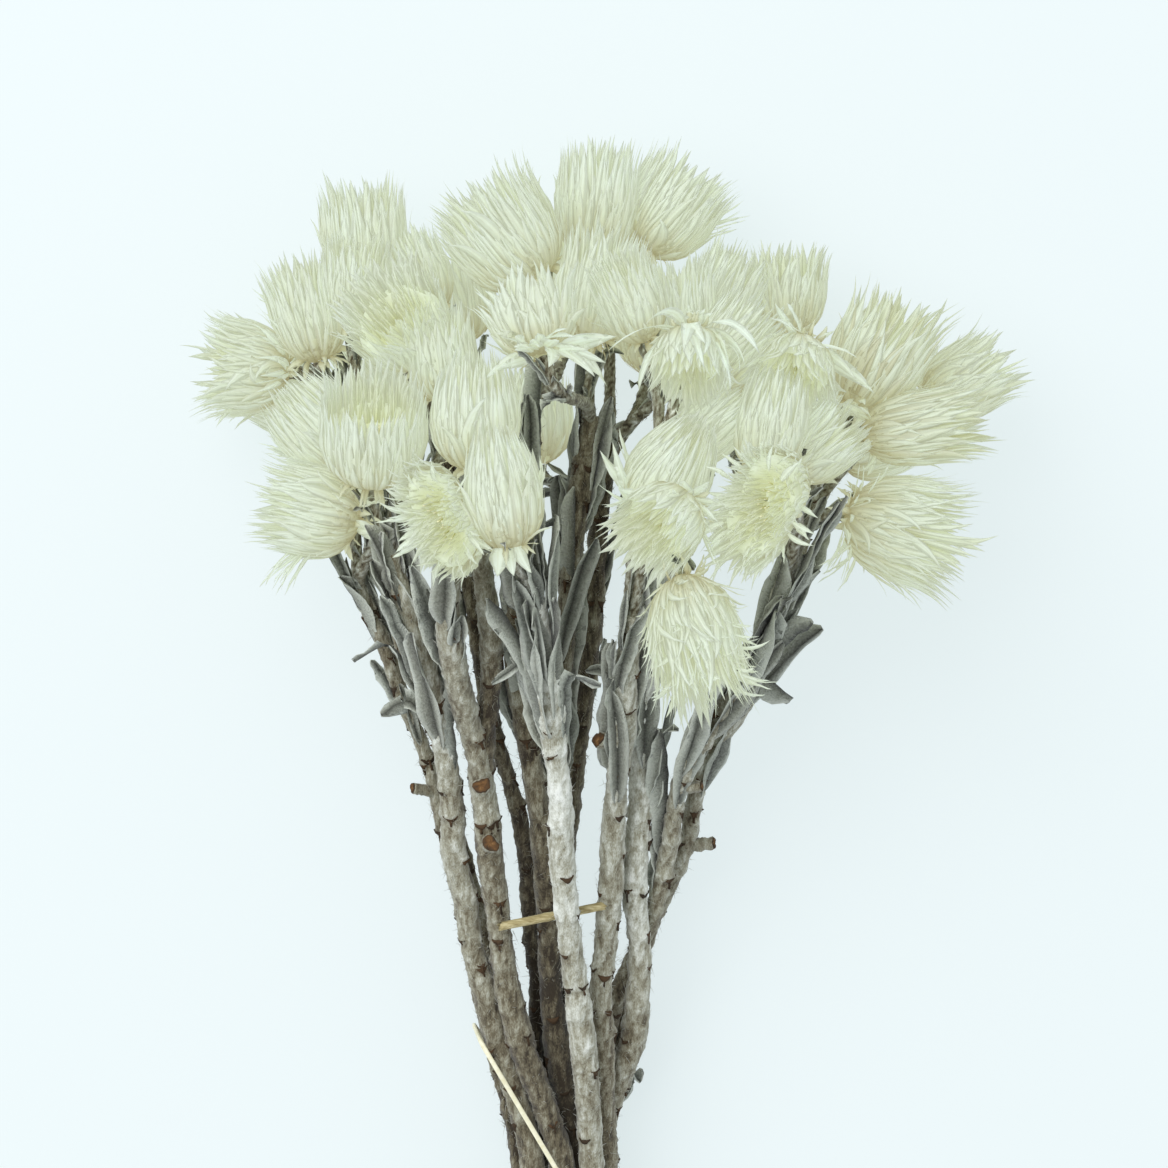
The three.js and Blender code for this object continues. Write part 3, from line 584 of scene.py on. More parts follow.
def mathNode(tree, kind, first, second=0.0):
    node = tree.nodes.new("ShaderNodeMath")
    node.operation = kind
    feed(tree, node.inputs[0], first)
    feed(tree, node.inputs[1], second)
    return node.outputs["Value"]


def times(tree, first, second):
    return mathNode(tree, "MULTIPLY", first, second)


def mixNode(tree, part, first, second, kind="MIX"):
    node = tree.nodes.new("ShaderNodeMix")
    node.data_type = "RGBA"
    node.blend_type = kind
    for place, value in ((0, part), (6, first), (7, second)):
        feed(tree, node.inputs[place], value)
    return node.outputs[2]


def noiseNode(tree, scale, detail=3.0, stretch=(1, 1, 1)):
    place = tree.nodes.new("ShaderNodeTexCoord")
    mapping = tree.nodes.new("ShaderNodeMapping")
    mapping.inputs["Scale"].default_value = stretch
    tree.links.new(place.outputs["Object"], mapping.inputs["Vector"])
    node = tree.nodes.new("ShaderNodeTexNoise")
    node.inputs["Scale"].default_value = scale
    node.inputs["Detail"].default_value = detail
    tree.links.new(mapping.outputs["Vector"], node.inputs["Vector"])
    return node.outputs["Fac"]


def bumpNode(tree, height, strength, distance):
    node = tree.nodes.new("ShaderNodeBump")
    node.inputs["Strength"].default_value = strength
    node.inputs["Distance"].default_value = distance
    tree.links.new(height, node.inputs["Height"])
    return node.outputs["Normal"]


def principledNode(tree, colour, roughness):
    surface = tree.nodes.new("ShaderNodeBsdfPrincipled")
    feed(tree, surface.inputs["Base Color"], colour)
    surface.inputs["Roughness"].default_value = roughness
    return surface


def finishMaterial(tree, shaderNode):
    output = tree.nodes.new("ShaderNodeOutputMaterial")
    tree.links.new(shaderNode.outputs[0], output.inputs["Surface"])


def drySurface(tree, colour, roughness, normal=None, sheen=0.0):
    surface = principledNode(tree, colour, roughness)
    surface.inputs["Specular IOR Level"].default_value = 0.3
    surface.inputs["Sheen Weight"].default_value = sheen
    surface.inputs["Sheen Roughness"].default_value = 0.5
    if normal:
        tree.links.new(normal, surface.inputs["Normal"])
    return surface


paper = {
    "outside": [(0.0, "#C2B68C"), (0.16, "#DDDBBF"), (0.45, "#EFF4E4"), (1.0, "#F5FBF2")],
    "inside": [(0.0, "#DCD8A0"), (0.4, "#ECEFC8"), (0.8, "#F3F8E0"), (1.0, "#F6FCEE")],
    "patches": (90.0, 2.0), "patchFrom": 0.4, "patchShare": 0.8, "patchColour": "#DFE0C0",
    "specks": (500.0, 2.0), "speckShare": 0.2,
    "lines": 22.0,  # fine lines along a bract, in radians across its width
    "lineShare": 0.22, "lineColour": "#D2D2B4", "lineBump": (0.3, 0.0001),
    "roughness": 0.55, "sheen": 0.1,
    "through": 0.45, "glow": 0.78,  # through is how much light the thin paper lets pass; glow is painted glow, an emission that keeps the bracts' shaded hollows light
    "litTint": "#CDD2DA", "paintedGlowTint": "#F1F2E2",
}


# along runs from a bract's foot to its tip, tone across the bract, and depth from the outer bracts to the
# inner ones.
def paperyMaterial():
    material, tree = newMaterial("paperyBract")
    along, tone, depth = (markNode(tree, key) for key in marks)
    outside, inside = (rampNode(tree, along, paper[key]) for key in ("outside", "inside"))
    colour = mixNode(tree, depth, outside, inside)
    patches = mathNode(tree, "SUBTRACT", noiseNode(tree, *paper["patches"]), paper["patchFrom"])
    specks = times(tree, noiseNode(tree, *paper["specks"]), paper["speckShare"])
    shaded = mathNode(tree, "ADD", times(tree, patches, paper["patchShare"]), specks)
    colour = mixNode(tree, shaded, colour, paper["patchColour"])
    lines = mathNode(tree, "SINE", times(tree, tone, paper["lines"]))
    colour = mixNode(tree, times(tree, lines, paper["lineShare"]), colour, paper["lineColour"])
    # The lit colour is dimmed and cooled, and a warmer copy of it is emitted as painted glow, so shaded
    # hollows stay light and yellowish.
    lit = mixNode(tree, 1.0, colour, paper["litTint"], "MULTIPLY")
    normal = bumpNode(tree, lines, *paper["lineBump"])
    surface = drySurface(tree, lit, paper["roughness"], normal, paper["sheen"])
    # Painted glow: the bracts emit their own warmed colour, though they are no lamp.
    paintedGlowColour = mixNode(tree, 1.0, colour, paper["paintedGlowTint"], "MULTIPLY")
    tree.links.new(paintedGlowColour, surface.inputs["Emission Color"])
    surface.inputs["Emission Strength"].default_value = paper["glow"]
    through = tree.nodes.new("ShaderNodeBsdfTranslucent")
    tree.links.new(lit, through.inputs["Color"])
    both = tree.nodes.new("ShaderNodeMixShader")
    both.inputs["Fac"].default_value = paper["through"]
    tree.links.new(surface.outputs["BSDF"], both.inputs[1])
    tree.links.new(through.outputs["BSDF"], both.inputs[2])
    finishMaterial(tree, both)
    return material


floretFinish = {
    "along": [(0.0, "#C2B67C"), (0.5, "#DDD8A6"), (1.0, "#ECEAC8")],
    "pale": "#EFECC8", "paleShare": 0.5, "roughness": 0.8,
}


def floretMaterial():
    material, tree = newMaterial("yellowFloret")
    colour = rampNode(tree, markNode(tree, "along"), floretFinish["along"])
    pale = times(tree, markNode(tree, "tone"), floretFinish["paleShare"])
    colour = mixNode(tree, pale, colour, floretFinish["pale"])
    finishMaterial(tree, drySurface(tree, colour, floretFinish["roughness"]))
    return material


wool = {
    "stops": [(0.0, "#3A3226"), (0.25, "#706853"), (0.5, "#A09E8B"), (0.75, "#CFD1C5"), (1.0, "#F0F2EA")],
    "matted": (330.0, 5.0, (2.4, 0.5, 2.4)), "mattedShare": 0.8,
    "fine": (2400.0, 3.0, (1.5, 0.5, 1.5)), "fineShare": 0.65, "bump": (0.6, 0.0005),
    "roughness": 0.95, "sheen": 0.25,
}


# tone is how thick and clean the wool is; on the stem tubes it also carries painted shade in hollows and
# painted highlight on lumps.
def woolMaterial():
    material, tree = newMaterial("woollyStem")
    matted, fine = noiseNode(tree, *wool["matted"]), noiseNode(tree, *wool["fine"])
    spread = times(tree, mathNode(tree, "SUBTRACT", matted, 0.5), wool["mattedShare"])
    fuzz = times(tree, mathNode(tree, "SUBTRACT", fine, 0.5), wool["fineShare"])
    kept = mathNode(tree, "ADD", markNode(tree, "tone"), mathNode(tree, "ADD", spread, fuzz))
    colour = rampNode(tree, kept, wool["stops"])
    normal = bumpNode(tree, fine, *wool["bump"])
    finishMaterial(tree, drySurface(tree, colour, wool["roughness"], normal, wool["sheen"]))
    return material


felt = {
    "coarse": (480.0, 6.0), "coarseStops": [(0.3, "#73786E"), (0.5, "#8D9288"), (0.7, "#A9AEA3")],
    "dull": "#7A7460", "dullShare": 0.6,
    "fine": (1500.0, 5.0), "fineStops": [(0.35, "#63675D"), (0.65, "#C6CBBF")], "fineShare": 0.35,
    "bump": (0.9, 0.0009),
    "paintedCreaseShade": [(0.0, "#84847F"), (0.13, "#F4F4F2"), (1.0, "#FFFFFF")],
    "rim": "#DADFD2", "rimShare": 0.75,
    "roughness": 0.95, "sheen": 0.25,
}


# depth is how near the leaf's rim a point lies and tone how dull the leaf is. Along its folded rib the leaf
# gets painted shade.
def feltMaterial():
    material, tree = newMaterial("feltedLeaf")
    tone, depth = markNode(tree, "tone"), markNode(tree, "depth")
    colour = rampNode(tree, noiseNode(tree, *felt["coarse"]), felt["coarseStops"])
    colour = mixNode(tree, times(tree, tone, felt["dullShare"]), colour, felt["dull"])
    fine = noiseNode(tree, *felt["fine"])
    colour = mixNode(tree, felt["fineShare"], colour, rampNode(tree, fine, felt["fineStops"]))
    # Painted shade darkens the crease along the folded rib.
    colour = mixNode(tree, 1.0, colour, rampNode(tree, depth, felt["paintedCreaseShade"]), "MULTIPLY")
    colour = mixNode(tree, times(tree, depth, felt["rimShare"]), colour, felt["rim"])
    normal = bumpNode(tree, fine, *felt["bump"])
    finishMaterial(tree, drySurface(tree, colour, felt["roughness"], normal, felt["sheen"]))
    return material


cut = {
    "fromPith": [
        (0.0, "#C9A87A"), (0.35, "#86623A"), (0.62, "#66492C"), (0.8, "#4E3D2A"), (1.0, "#2E281E"),
    ],
    "noise": (1500.0, 4.0), "grain": "#4A3420", "grainShare": 0.5, "bump": (0.6, 0.0004),
    "roughness": 0.85,
}


def cutMaterial():
    material, tree = newMaterial("cutWood")
    grain = noiseNode(tree, *cut["noise"])
    colour = rampNode(tree, markNode(tree, "along"), cut["fromPith"])
    colour = mixNode(tree, times(tree, grain, cut["grainShare"]), colour, cut["grain"])
    finishMaterial(tree, drySurface(tree, colour, cut["roughness"], bumpNode(tree, grain, *cut["bump"])))
    return material


def grainyMaterial(name, stops, roughness, noise, bump):
    material, tree = newMaterial(name)
    grain = noiseNode(tree, *noise)
    colour = rampNode(tree, grain, stops)
    finishMaterial(tree, drySurface(tree, colour, roughness, bumpNode(tree, grain, *bump)))
    return material


papery = paperyMaterial()
floret = floretMaterial()
woolly = woolMaterial()
felted = feltMaterial()
cutWood = cutMaterial()
print("materials ready")

headProfile = {
    "heights": (0.0, 0.05, 0.14, 0.25, 0.48, 0.7, 0.85, 1.0, 1.2),
    "open": (0.24, 0.52, 0.76, 0.91, 1.0, 0.97, 0.96, 1.0, 1.1),
    "closed": (0.24, 0.52, 0.75, 0.9, 1.0, 0.97, 0.92, 0.84, 0.72),
    "openFrom": 0.9,  # a head whose mouth is wider than this is an open one
}


def headRadius(head, height, angle=None):
    opening = 1 + (head["mouth"] - 1) * np.clip(height, 0, 1.1) ** 2
    radii = headProfile["open" if head["mouth"] > headProfile["openFrom"] else "closed"]
    radius = np.interp(height, headProfile["heights"], radii) * opening * head["width"] / 2
    if angle is not None:
        amount, at = head["oval"]
        radius = radius * (1 + amount * np.cos(2 * (angle - math.radians(at))))
    return radius


# A coordinate across each bract for its fine lines, at the corners of one ring. Each bract starts elsewhere.
def lineMarks(count, corners, draw):
    return 3 * draw.random((count, 1)) + np.array(corners)


# Many slim skins at once, each with a closed foot and a point for a tip. body has the shape (count, rings,
# corners, 3), and its last ring gives way to the last place of middle, which is the tip.
def addPointed(store, body, middle, along, lines, depth=0.0):
    count, rings, corners = body.shape[0], body.shape[1] - 1, body.shape[2]
    size = rings * corners + 1
    last = size - 1 - corners
    ends = [[0, k + 1, k] for k in range(1, corners - 1)]
    ends += [[last + k, last + (k + 1) % corners, size - 1] for k in range(corners)]
    faces = np.concatenate([ringFaces(rings, corners, closedEnds=False), np.array(ends)])

    def perPoint(values):
        values = np.broadcast_to(values, (count, rings + 1))
        return np.concatenate([np.repeat(values[:, :rings], corners, axis=1), values[:, rings:]], 1)

    points = np.concatenate([body[:, :rings].reshape(count, -1, 3), middle[:, rings:]], 1)
    tone = np.concatenate([np.tile(lines, (1, rings)), lines[:, -1:]], 1)
    addSkin(store, points, repeatFaces(faces, count, size), perPoint(along), tone, perPoint(depth))


bractLook = {
    "rings": 6,  # places along one bract, without its tip
    "perHead": 325, "usualSize": 30 * 28, "usualWidth": 3.3,  # bracts of a head 30 mm long and 28 mm wide
    "hiddenShare": 0.45,  # as many of them on a head at the back
    "sliverShare": 0.3, "sliverWidth": 0.45, "sliverRise": 0.03,  # some are slivers, narrower and higher
    "thickness": 0.07, "cup": 0.05,
    "outline": ((0, 0.17, 0.4, 0.67, 0.84, 1.0), (0.6, 0.9, 1.0, 0.8, 0.36, 0.0)),  # width on the way up
    "keel": ((0, 0.3, 1), (1.0, 1.0, 0.4)),  # thickness on the way up
    "turnJitter": 0.05, "tipJitter": 0.04, "reachJitter": 0.08, "liftJitter": 0.014, "widthJitter": 0.16,
    "twistJitter": 0.05, "tilt": 0.08, "sliverTilt": 0.3,
    "sprungLift": (0.12, 0.4), "sprungTwist": 0.25, "sprungDrop": 0.3,
    "tuftSize": 6.5, "tuftLength": 0.11, "tuftTurn": 0.2, "tuftLift": 0.09,  # neighbours lean in tufts
}


# The bracts of a head, all at once. They grow from the outside in: the first ones are short and end low on
# the head, the last ones stand inside its rim. Heights are parts of the head's length.
def addBracts(store, head, draw):
    look, halfWidth, outerShare = bractLook, head["width"] / 2, head["outerShare"]
    size = head["length"] * head["width"] / look["usualSize"]
    share = (look["hiddenShare"] if head["hidden"] else 1.0) * head["crowd"]
    count = int(look["perHead"] * share * size**0.5 * (look["usualWidth"] / head["bract"]) ** 0.6)

    def jitter(spread):
        return draw.normal(size=count) * spread

    order = (np.arange(count) + 0.5) / count
    outer = order < outerShare
    way = np.minimum(order / outerShare, 1.0)
    depth = np.maximum(0, (order - outerShare) / (1 - outerShare))
    turn = np.arange(count) * goldenTurn + jitter(look["turnJitter"])
    spot = np.stack([np.cos(turn) * halfWidth, np.sin(turn) * halfWidth, way * head["length"]], 1)
    seeds = draw.integers(1, 9999, 3)
    tuft, sideways, spread = (head["wild"] * softNoise(spot, look["tuftSize"], seed) for seed in seeds)

    outerTip = 0.22 + (0.78 - 0.5 * head["dome"]) * way**0.5
    innerTip = 1.0 - 0.32 * depth**1.4 + head["dome"] * np.sin(math.pi * np.minimum(1, 1.3 * depth))
    tip = np.where(outer, outerTip, innerTip) + jitter(look["tipJitter"])
    tip = tip + look["tuftLength"] * tuft
    reach = np.where(outer, 0.4 + 0.4 * way, 0.62 - 0.2 * depth) * (1 + jitter(look["reachJitter"]))
    foot = np.maximum(tip - reach, 0.0)
    sprung = outer & (draw.random(count) < head["loose"])
    sliver = draw.random(count) < look["sliverShare"]
    tip = tip + look["sliverRise"] * sliver
    tuftEdge = smoothStep(0.75, 1.0, tip) * (0.05 * np.abs(tuft) + 0.03 * sliver)
    lift = 0.01 + np.abs(jitter(look["liftJitter"])) + tuftEdge
    lift = lift + look["tuftLift"] * np.maximum(0, spread) * smoothStep(0.5, 1.0, tip)
    lift = np.where(sprung, draw.uniform(*look["sprungLift"], count), lift)
    width = head["bract"] * (1 + jitter(look["widthJitter"])) * np.where(outer, 0.85 + 0.25 * way, 0.8)
    width = width * np.where(sliver, look["sliverWidth"], 1.0)
    twist = jitter(look["twistJitter"] * head["wild"]) + look["tuftTurn"] * sideways
    twist = twist + np.where(sprung, jitter(look["sprungTwist"]), 0)

    axis, across, upright = headDirections(head)
    part = np.linspace(0, 1, look["rings"] + 1)[None, :]
    height = foot[:, None] + (tip - foot)[:, None] * part
    angle = turn[:, None] + twist[:, None] * part**2
    radius = headRadius(head, height, angle) * (1 - (1 - head["hollow"]) * depth[:, None])
    radius *= 0.93 + 0.05 * part**1.5 + 0.03 * draw.random(count)[:, None] + 0.01 * sliver[:, None]
    radius += lift[:, None] * part**2.5 * halfWidth
    height = height - np.where(sprung[:, None], look["sprungDrop"] * lift[:, None] * part**3, 0)
    outward = turned(across, upright, angle)
    middle = head["base"] + axis * (height * head["length"])[..., None] + outward * radius[..., None]
    along = unit(np.gradient(middle, axis=1))
    tilt = draw.normal(size=count) * np.where(sliver, look["sliverTilt"], look["tilt"])
    side = unit(np.cross(along, outward) + outward * tilt[:, None, None])
    out = np.cross(side, along)
    half = (width[:, None] * np.interp(part, *look["outline"]) / 2)[..., None]
    thick = look["thickness"] * np.interp(part, *look["keel"])[..., None]
    cupped = out * look["cup"] * half
    body = np.stack([middle + side * half - cupped, middle - side * half - cupped, middle + out * thick], 2)
    lines = lineMarks(count, (0.0, 1.0, 0.5), draw)
    fresh = 1 - head["aged"] * draw.random((count, 1))
    onHead = (0.4 * part + 0.6 * np.clip(height, 0, 1)) * fresh
    addPointed(store, body, middle, onHead, lines, depth[:, None] ** 0.7)


petalLook = {
    "rings": 8, "thickness": 0.12, "cup": 0.15, "sway": 0.4, "roll": 0.5, "crinkle": 0.16,
    "outline": ((0, 0.2, 0.4, 0.65, 0.85, 1), (0.5, 0.95, 1.0, 0.7, 0.32, 0.0)),
}


# A spray of broad bracts: each leaves the head at an angle and bends on the way to its tip.
def addSpray(store, head, group, draw):
    look, count = petalLook, group["count"]

    def pick(key):
        return draw.uniform(*group[key], count)

    angle, foot, opened = np.radians(pick("around")), pick("foot"), np.radians(pick("opened"))
    part = np.linspace(0, 1, look["rings"] + 1)[None, :]
    curl = np.radians(group["curl"]) * draw.uniform(0.6, 1.4, count)
    lean = opened[:, None] + curl[:, None] * part
    axis, across, upright = headDirections(head)
    outward = turned(across, upright, angle)
    beside = np.cross(axis, outward)[:, None, :]
    sway = (draw.normal(size=(count, 1)) * look["sway"] * part)[..., None]
    way = unit(turned(axis, outward[:, None, :], lean) + beside * sway)
    start = head["base"] + axis * (foot * head["length"])[:, None]
    start = start + outward * (0.8 * headRadius(head, foot))[:, None]
    stride = (pick("length") / look["rings"])[:, None, None]
    middle = start[:, None, :] + (np.cumsum(way, axis=1) - way) * stride
    side = unit(beside - way * np.sum(beside * way, axis=2, keepdims=True))
    roll = draw.normal(size=(count, 1, 1)) * look["roll"]
    side = side * np.cos(roll) + np.cross(side, way) * np.sin(roll)
    out = np.cross(side, way)
    width = group["width"] * draw.uniform(0.7, 1.25, (count, 1))
    half = (width * np.interp(part, *look["outline"]) / 2)[..., None]
    bend = look["cup"] * half * draw.uniform(-0.5, 1.2, (count, 1, 1))
    crinkle = draw.normal(size=(count, look["rings"] + 1, 2, 1)) * look["crinkle"]
    thick = look["thickness"] / 2
    left = middle + side * half - out * (bend + crinkle[:, :, 0])
    right = middle - side * half - out * (bend + crinkle[:, :, 1])
    body = np.stack([left, middle - out * thick, right, middle + out * thick], 2)
    along = np.clip(group["pale"] - 0.35 * (1 - part) ** 2, 0, 1)
    addPointed(store, body, middle, along, lineMarks(count, (0.0, 0.5, 1.0, 0.5), draw))


# The rings of the cup under the bracts, from its foot over its rim and down inside: height, width, and the
# marks along and depth.
cupRings = (
    (0.0, 0.02, 0.1, 0), (0.02, 0.7, 0.15, 0), (0.12, 0.84, 0.3, 0), (0.3, 0.86, 0.5, 0),
    (0.5, 0.85, 0.65, 0), (0.6, 0.8, 0.7, 0.2), (0.6, 0.68, 0.7, 0.6), (0.46, 0.52, 0.6, 1),
    (0.36, 0.3, 0.5, 1), (0.34, 0.02, 0.4, 1),
)


def addCup(store, head, draw, sides=20):
    axis, across, upright = headDirections(head)
    angle = evenTurns(sides)
    outward = turned(across, upright, angle)
    rings = []
    for height, width, _, _ in cupRings:
        uneven = 1 + 0.03 * draw.normal(size=sides)
        radius = headRadius(head, np.full(sides, height), angle) * width * uneven
        rings.append(head["base"] + axis * height * head["length"] + outward * radius[:, None])
    _, _, along, depth = (np.repeat(column, sides) for column in zip(*cupRings))
    addSkin(store, np.concatenate(rings), ringFaces(len(cupRings), sides), along, 0.5, depth)


floretLook = {
    "count": 30, "hiddenCount": 10, "length": 4.0, "lengthRange": (0.8, 1.25),
    "radii": (0.182, 0.208, 0.312),  # at its foot, middle and tip
    "sides": 4, "foot": 0.33, "spread": 0.35, "lean": 0.35, "leanJitter": 0.1,
}


# The florets, which stand on the floor of the cup.
def addFlorets(store, head, draw):
    look = floretLook
    count = look["hiddenCount"] if head["hidden"] else look["count"]
    axis, across, upright = headDirections(head)
    order = (np.arange(count) + 0.5) / count
    angle = np.arange(count) * goldenTurn
    radius = headRadius(head, np.full(count, 0.6), angle) * look["spread"] * np.sqrt(order)
    outward = turned(across, upright, angle)
    foot = head["base"] + axis * look["foot"] * head["length"] + outward * radius[:, None]
    sway = draw.normal(size=(count, 3)) * look["leanJitter"]
    lean = unit(axis + outward * (look["lean"] * order[:, None]) + sway)
    length = look["length"] * draw.uniform(*look["lengthRange"], count)[:, None]
    part = np.linspace(0, 1, len(look["radii"]))
    middle = foot[:, None, :] + lean[:, None, :] * (length[:, None, :] * part[None, :, None])
    side = unit(np.cross(lean, outward + upward * 0.01))
    ring = turned(side[:, None, :], np.cross(lean, side)[:, None, :], evenTurns(look["sides"]))
    points = middle[:, :, None, :] + ring[:, None, :, :] * np.array(look["radii"])[None, :, None, None]
    size = len(part) * look["sides"]
    faces = repeatFaces(ringFaces(len(part), look["sides"]), count, size)
    along = np.tile(np.repeat(part, look["sides"]), count)
    tone = np.repeat(draw.random(count), size)
    addSkin(store, points, faces, along, tone, 0.0, 1)


basalScraps = spray(14, (0, 360), (0.0, 0.08), (70, 150), 35, (3.5, 8), 2.2, 0.3)  # torn bits round its foot


def makeHeads():
    for number, head in enumerate(heads):
        draw = np.random.default_rng(layout["seed"] * 1000 + number)
        store = newStore()
        addCup(store, head, draw)
        addBracts(store, head, draw)
        addFlorets(store, head, draw)
        if not head["hidden"]:
            for group in (basalScraps, *head["sprays"]):
                addSpray(store, head, group, draw)
        name = f"head_{number + 1:02d}"
        makePiece("bloom_" + name[5:], store, [papery, floret], name)


makeHeads()
print("heads made")

stemLook = {
    "sides": 20, "spacing": 1.1,
    "stepLength": 30, "swell": 0.06, "taper": 0.18,
    "joint": 12.5, "firstJoint": 0.4, "jointJitter": 0.22,  # from one leaf scar to the next
    "saw": 0.06,  # how far each joint's upper end stands over the next one's foot, as part of the radius
    "lumps": 0.42, "wrinkles": 0.3, "grain": 0.1,
    "footShade": 0.26, "topShade": 0.06,  # darker towards the foot, and towards the top on stems whose wool is thin
    "patches": 0.14, "patchSize": 30,
    "hairs": {"perMillimetre": 3.5, "length": (0.7, 2.8)},
}
noSheath = (0.9, 0.0)


# Radii of a woolly stem at each place and side, its tone, which is how thick its wool is with painted shade
# in its wrinkles and hollows and painted highlight on its lumps, and where its scars are.
def woollyRadii(route, girth, kept, seed, taper, sheath):
    look, draw = stemLook, np.random.default_rng(seed)
    sides, places, length = look["sides"], len(route["points"]), route["length"]
    s = np.linspace(0, length, places)[:, None]
    turn = evenTurns(sides)[None, :]
    part = s / length
    steps = max(1, round(length / look["stepLength"]))
    radii = girth / 2 * (1 + look["swell"] * np.cos(math.pi * part * steps) - taper * part)
    joints = np.arange(look["firstJoint"], length / look["joint"])
    joints = (joints + draw.uniform(-look["jointJitter"], look["jointJitter"], len(joints))) * look["joint"]
    ends = np.concatenate([[-look["joint"]], joints, [length + look["joint"]]])
    phase = np.interp(s, ends, np.arange(len(ends))) % 1
    saw = look["saw"] * (0.5 - phase) * (1 + 0.6 * np.sin(turn * 2 + seed))
    across = np.stack(np.broadcast_arrays(s, girth / 2 * np.cos(turn), girth / 2 * np.sin(turn)), -1)
    lumps = softNoise(across * (0.7, 1, 1), 5.0, seed)
    wrinkles = softNoise(across * (0.3, 1, 1), 2.1, seed + 1)
    wrinkles = wrinkles + 0.6 * softNoise(across * (0.6, 1, 1), 1.3, seed + 2)
    fluff = draw.normal(size=(places, sides))
    radii = radii * (1 + saw + sheath[1] * np.exp(-(((part - sheath[0]) / 0.05) ** 2)))
    radii = radii + look["lumps"] * lumps + look["wrinkles"] * wrinkles + look["grain"] * fluff
    # Painted shade and highlight: where the wool's relief stands out it is lighter, and in its wrinkles,
    # hollows and joints it is darker.
    paintedReliefShade = 0.5 * lumps + 0.5 * wrinkles + 0.12 * fluff + 0.12 * (0.5 - phase)
    scars = []
    for at in joints:
        for _ in range(draw.integers(1, 4)):
            facing, place = draw.uniform(0, 2 * math.pi), at + draw.uniform(-1.5, 1.5)
            wide = draw.uniform(*scarLook["width"])
            aside = ((turn - facing + math.pi) % (2 * math.pi) - math.pi) * girth / 2 / wide
            rise = s - place + 0.5 * aside**2
            near = np.exp(-0.6 * aside**2)
            lip, hollow = np.exp(-((rise - 1.4) ** 2) / 1.2), np.exp(-((rise + 0.4) ** 2))
            radii = radii + near * (0.5 * lip - 0.3 * hollow)
            # painted shade in the hollow under each scar's lip
            paintedReliefShade = paintedReliefShade - 0.5 * near * np.exp(-((rise + 0.2) ** 2) / 0.8)
            scars.append((place, facing, wide))
    tone = kept - 0.12 + 0.3 * paintedReliefShade - look["topShade"] * smoothStep(0.55, 1.0, part) * (1 - kept)
    tone = tone - look["footShade"] * (1 - smoothStep(0.3, 0.75, part))
    return radii, np.clip(tone, 0, 1), scars


scarLook = {
    "width": (1.2, 2.2), "height": 0.6, "heightRange": (0.7, 1.4), "sag": 0.9, "rise": 0.5, "ragged": 0.08,
    "splitShare": 0.6, "splitTall": (1.6, 2.6), "splitHalf": 0.16, "splitDrop": -1.2,
}


# What a torn leaf left: a brown crescent of wood round the front of the joint, often with a split below it.
def addScars(store, route, radii, scars, seed):
    look, draw = scarLook, np.random.default_rng(seed)
    sides, uprights = carriedAcross(route["directions"])
    stride = route["length"] / (len(route["points"]) - 1)
    for place, facing, wide in scars:
        bodies = [(np.linspace(-1, 1, 7), 1.0, 0.0)]
        if draw.random() < look["splitShare"]:
            split = np.linspace(-look["splitHalf"], look["splitHalf"], 3)
            bodies.append((split, draw.uniform(*look["splitTall"]), look["splitDrop"]))
        for across, tall, below in bodies:
            aside = across * wide
            spot = place + look["sag"] * across**2 * wide / 1.5 + below
            lens = 1.15 - across**2 if tall == 1.0 else 1.0
            height = tall * look["height"] * lens * draw.uniform(*look["heightRange"])
            corners = []
            for up, high in ((1, 1), (-1, 1), (-1, -1), (1, -1)):
                at = np.clip((spot + up * height) / stride, 1, len(route["points"]) - 3)
                low = at.astype(int)
                middle = blend(route["points"][low], route["points"][low + 1], (at - low)[:, None])
                turn = facing + aside / radii[low].mean(1)
                column = np.round(turn / (2 * math.pi) * radii.shape[1]).astype(int) % radii.shape[1]
                reach = radii[low, column] + high * look["rise"] - 0.15
                corners.append(middle + turned(sides[low], uprights[low], turn) * reach[:, None])
            points = np.stack(corners, 1)
            points = points + draw.normal(size=points.shape) * look["ragged"]
            addSkin(store, points, ringFaces(len(across), 4), draw.uniform(0.75, 1.0), finish=2)


# A cut end: rings of wood round a pale pith, just proud of the tube's own end.
def addCutFace(store, middle, facing, rim, seed):
    draw = np.random.default_rng(seed)
    sides = len(rim)
    rings = [rim * 0.96 + middle * 0.04 - facing * 0.2]
    for part in (0.9, 0.7, 0.45, 0.22):
        rings.append(middle + (rim - middle) * part + facing * (0.3 + 0.15 * draw.normal(size=(sides, 1))))
    along = np.repeat([1.0, 0.86, 0.7, 0.55, 0.4], sides) + 0.12 * draw.normal(size=len(rings) * sides)
    faces = ringFaces(len(rings), sides)[:, ::-1]
    addSkin(store, np.concatenate(rings), faces, np.clip(along, 0, 1), finish=2)


def addStemTube(store, route, girth, kept, seed, taper, sheath=noSheath):
    radii, tone, scars = woollyRadii(route, girth, kept, seed, taper, sheath)
    points = tubePoints(route, radii)
    tone = tone + stemLook["patches"] * softNoise(points, stemLook["patchSize"], seed + 5)
    addSkin(store, points, ringFaces(*radii.shape), tone=tone)
    addScars(store, route, radii, scars, seed + 6)
    return points


leafLook = {
    "rings": 15, "columns": 5, "thickness": 0.45,
    "outline": ((0, 0.1, 0.35, 0.75, 0.9, 0.97, 1), (0.15, 0.65, 1.0, 0.95, 0.78, 0.52, 0.2)),
    "crumple": 0.65, "crumpleSize": 4.6, "wave": 0.1, "ruffle": 0.06, "twist": 0.9, "grain": 0.05,
    "fold": (0.45, 1.1), "foldedBack": 0.2, "roll": (0.1, 0.6),
    "larger": 1.15,  # than the size in its leafSet
    "spring": 0.09, "sway": 0.1,
}


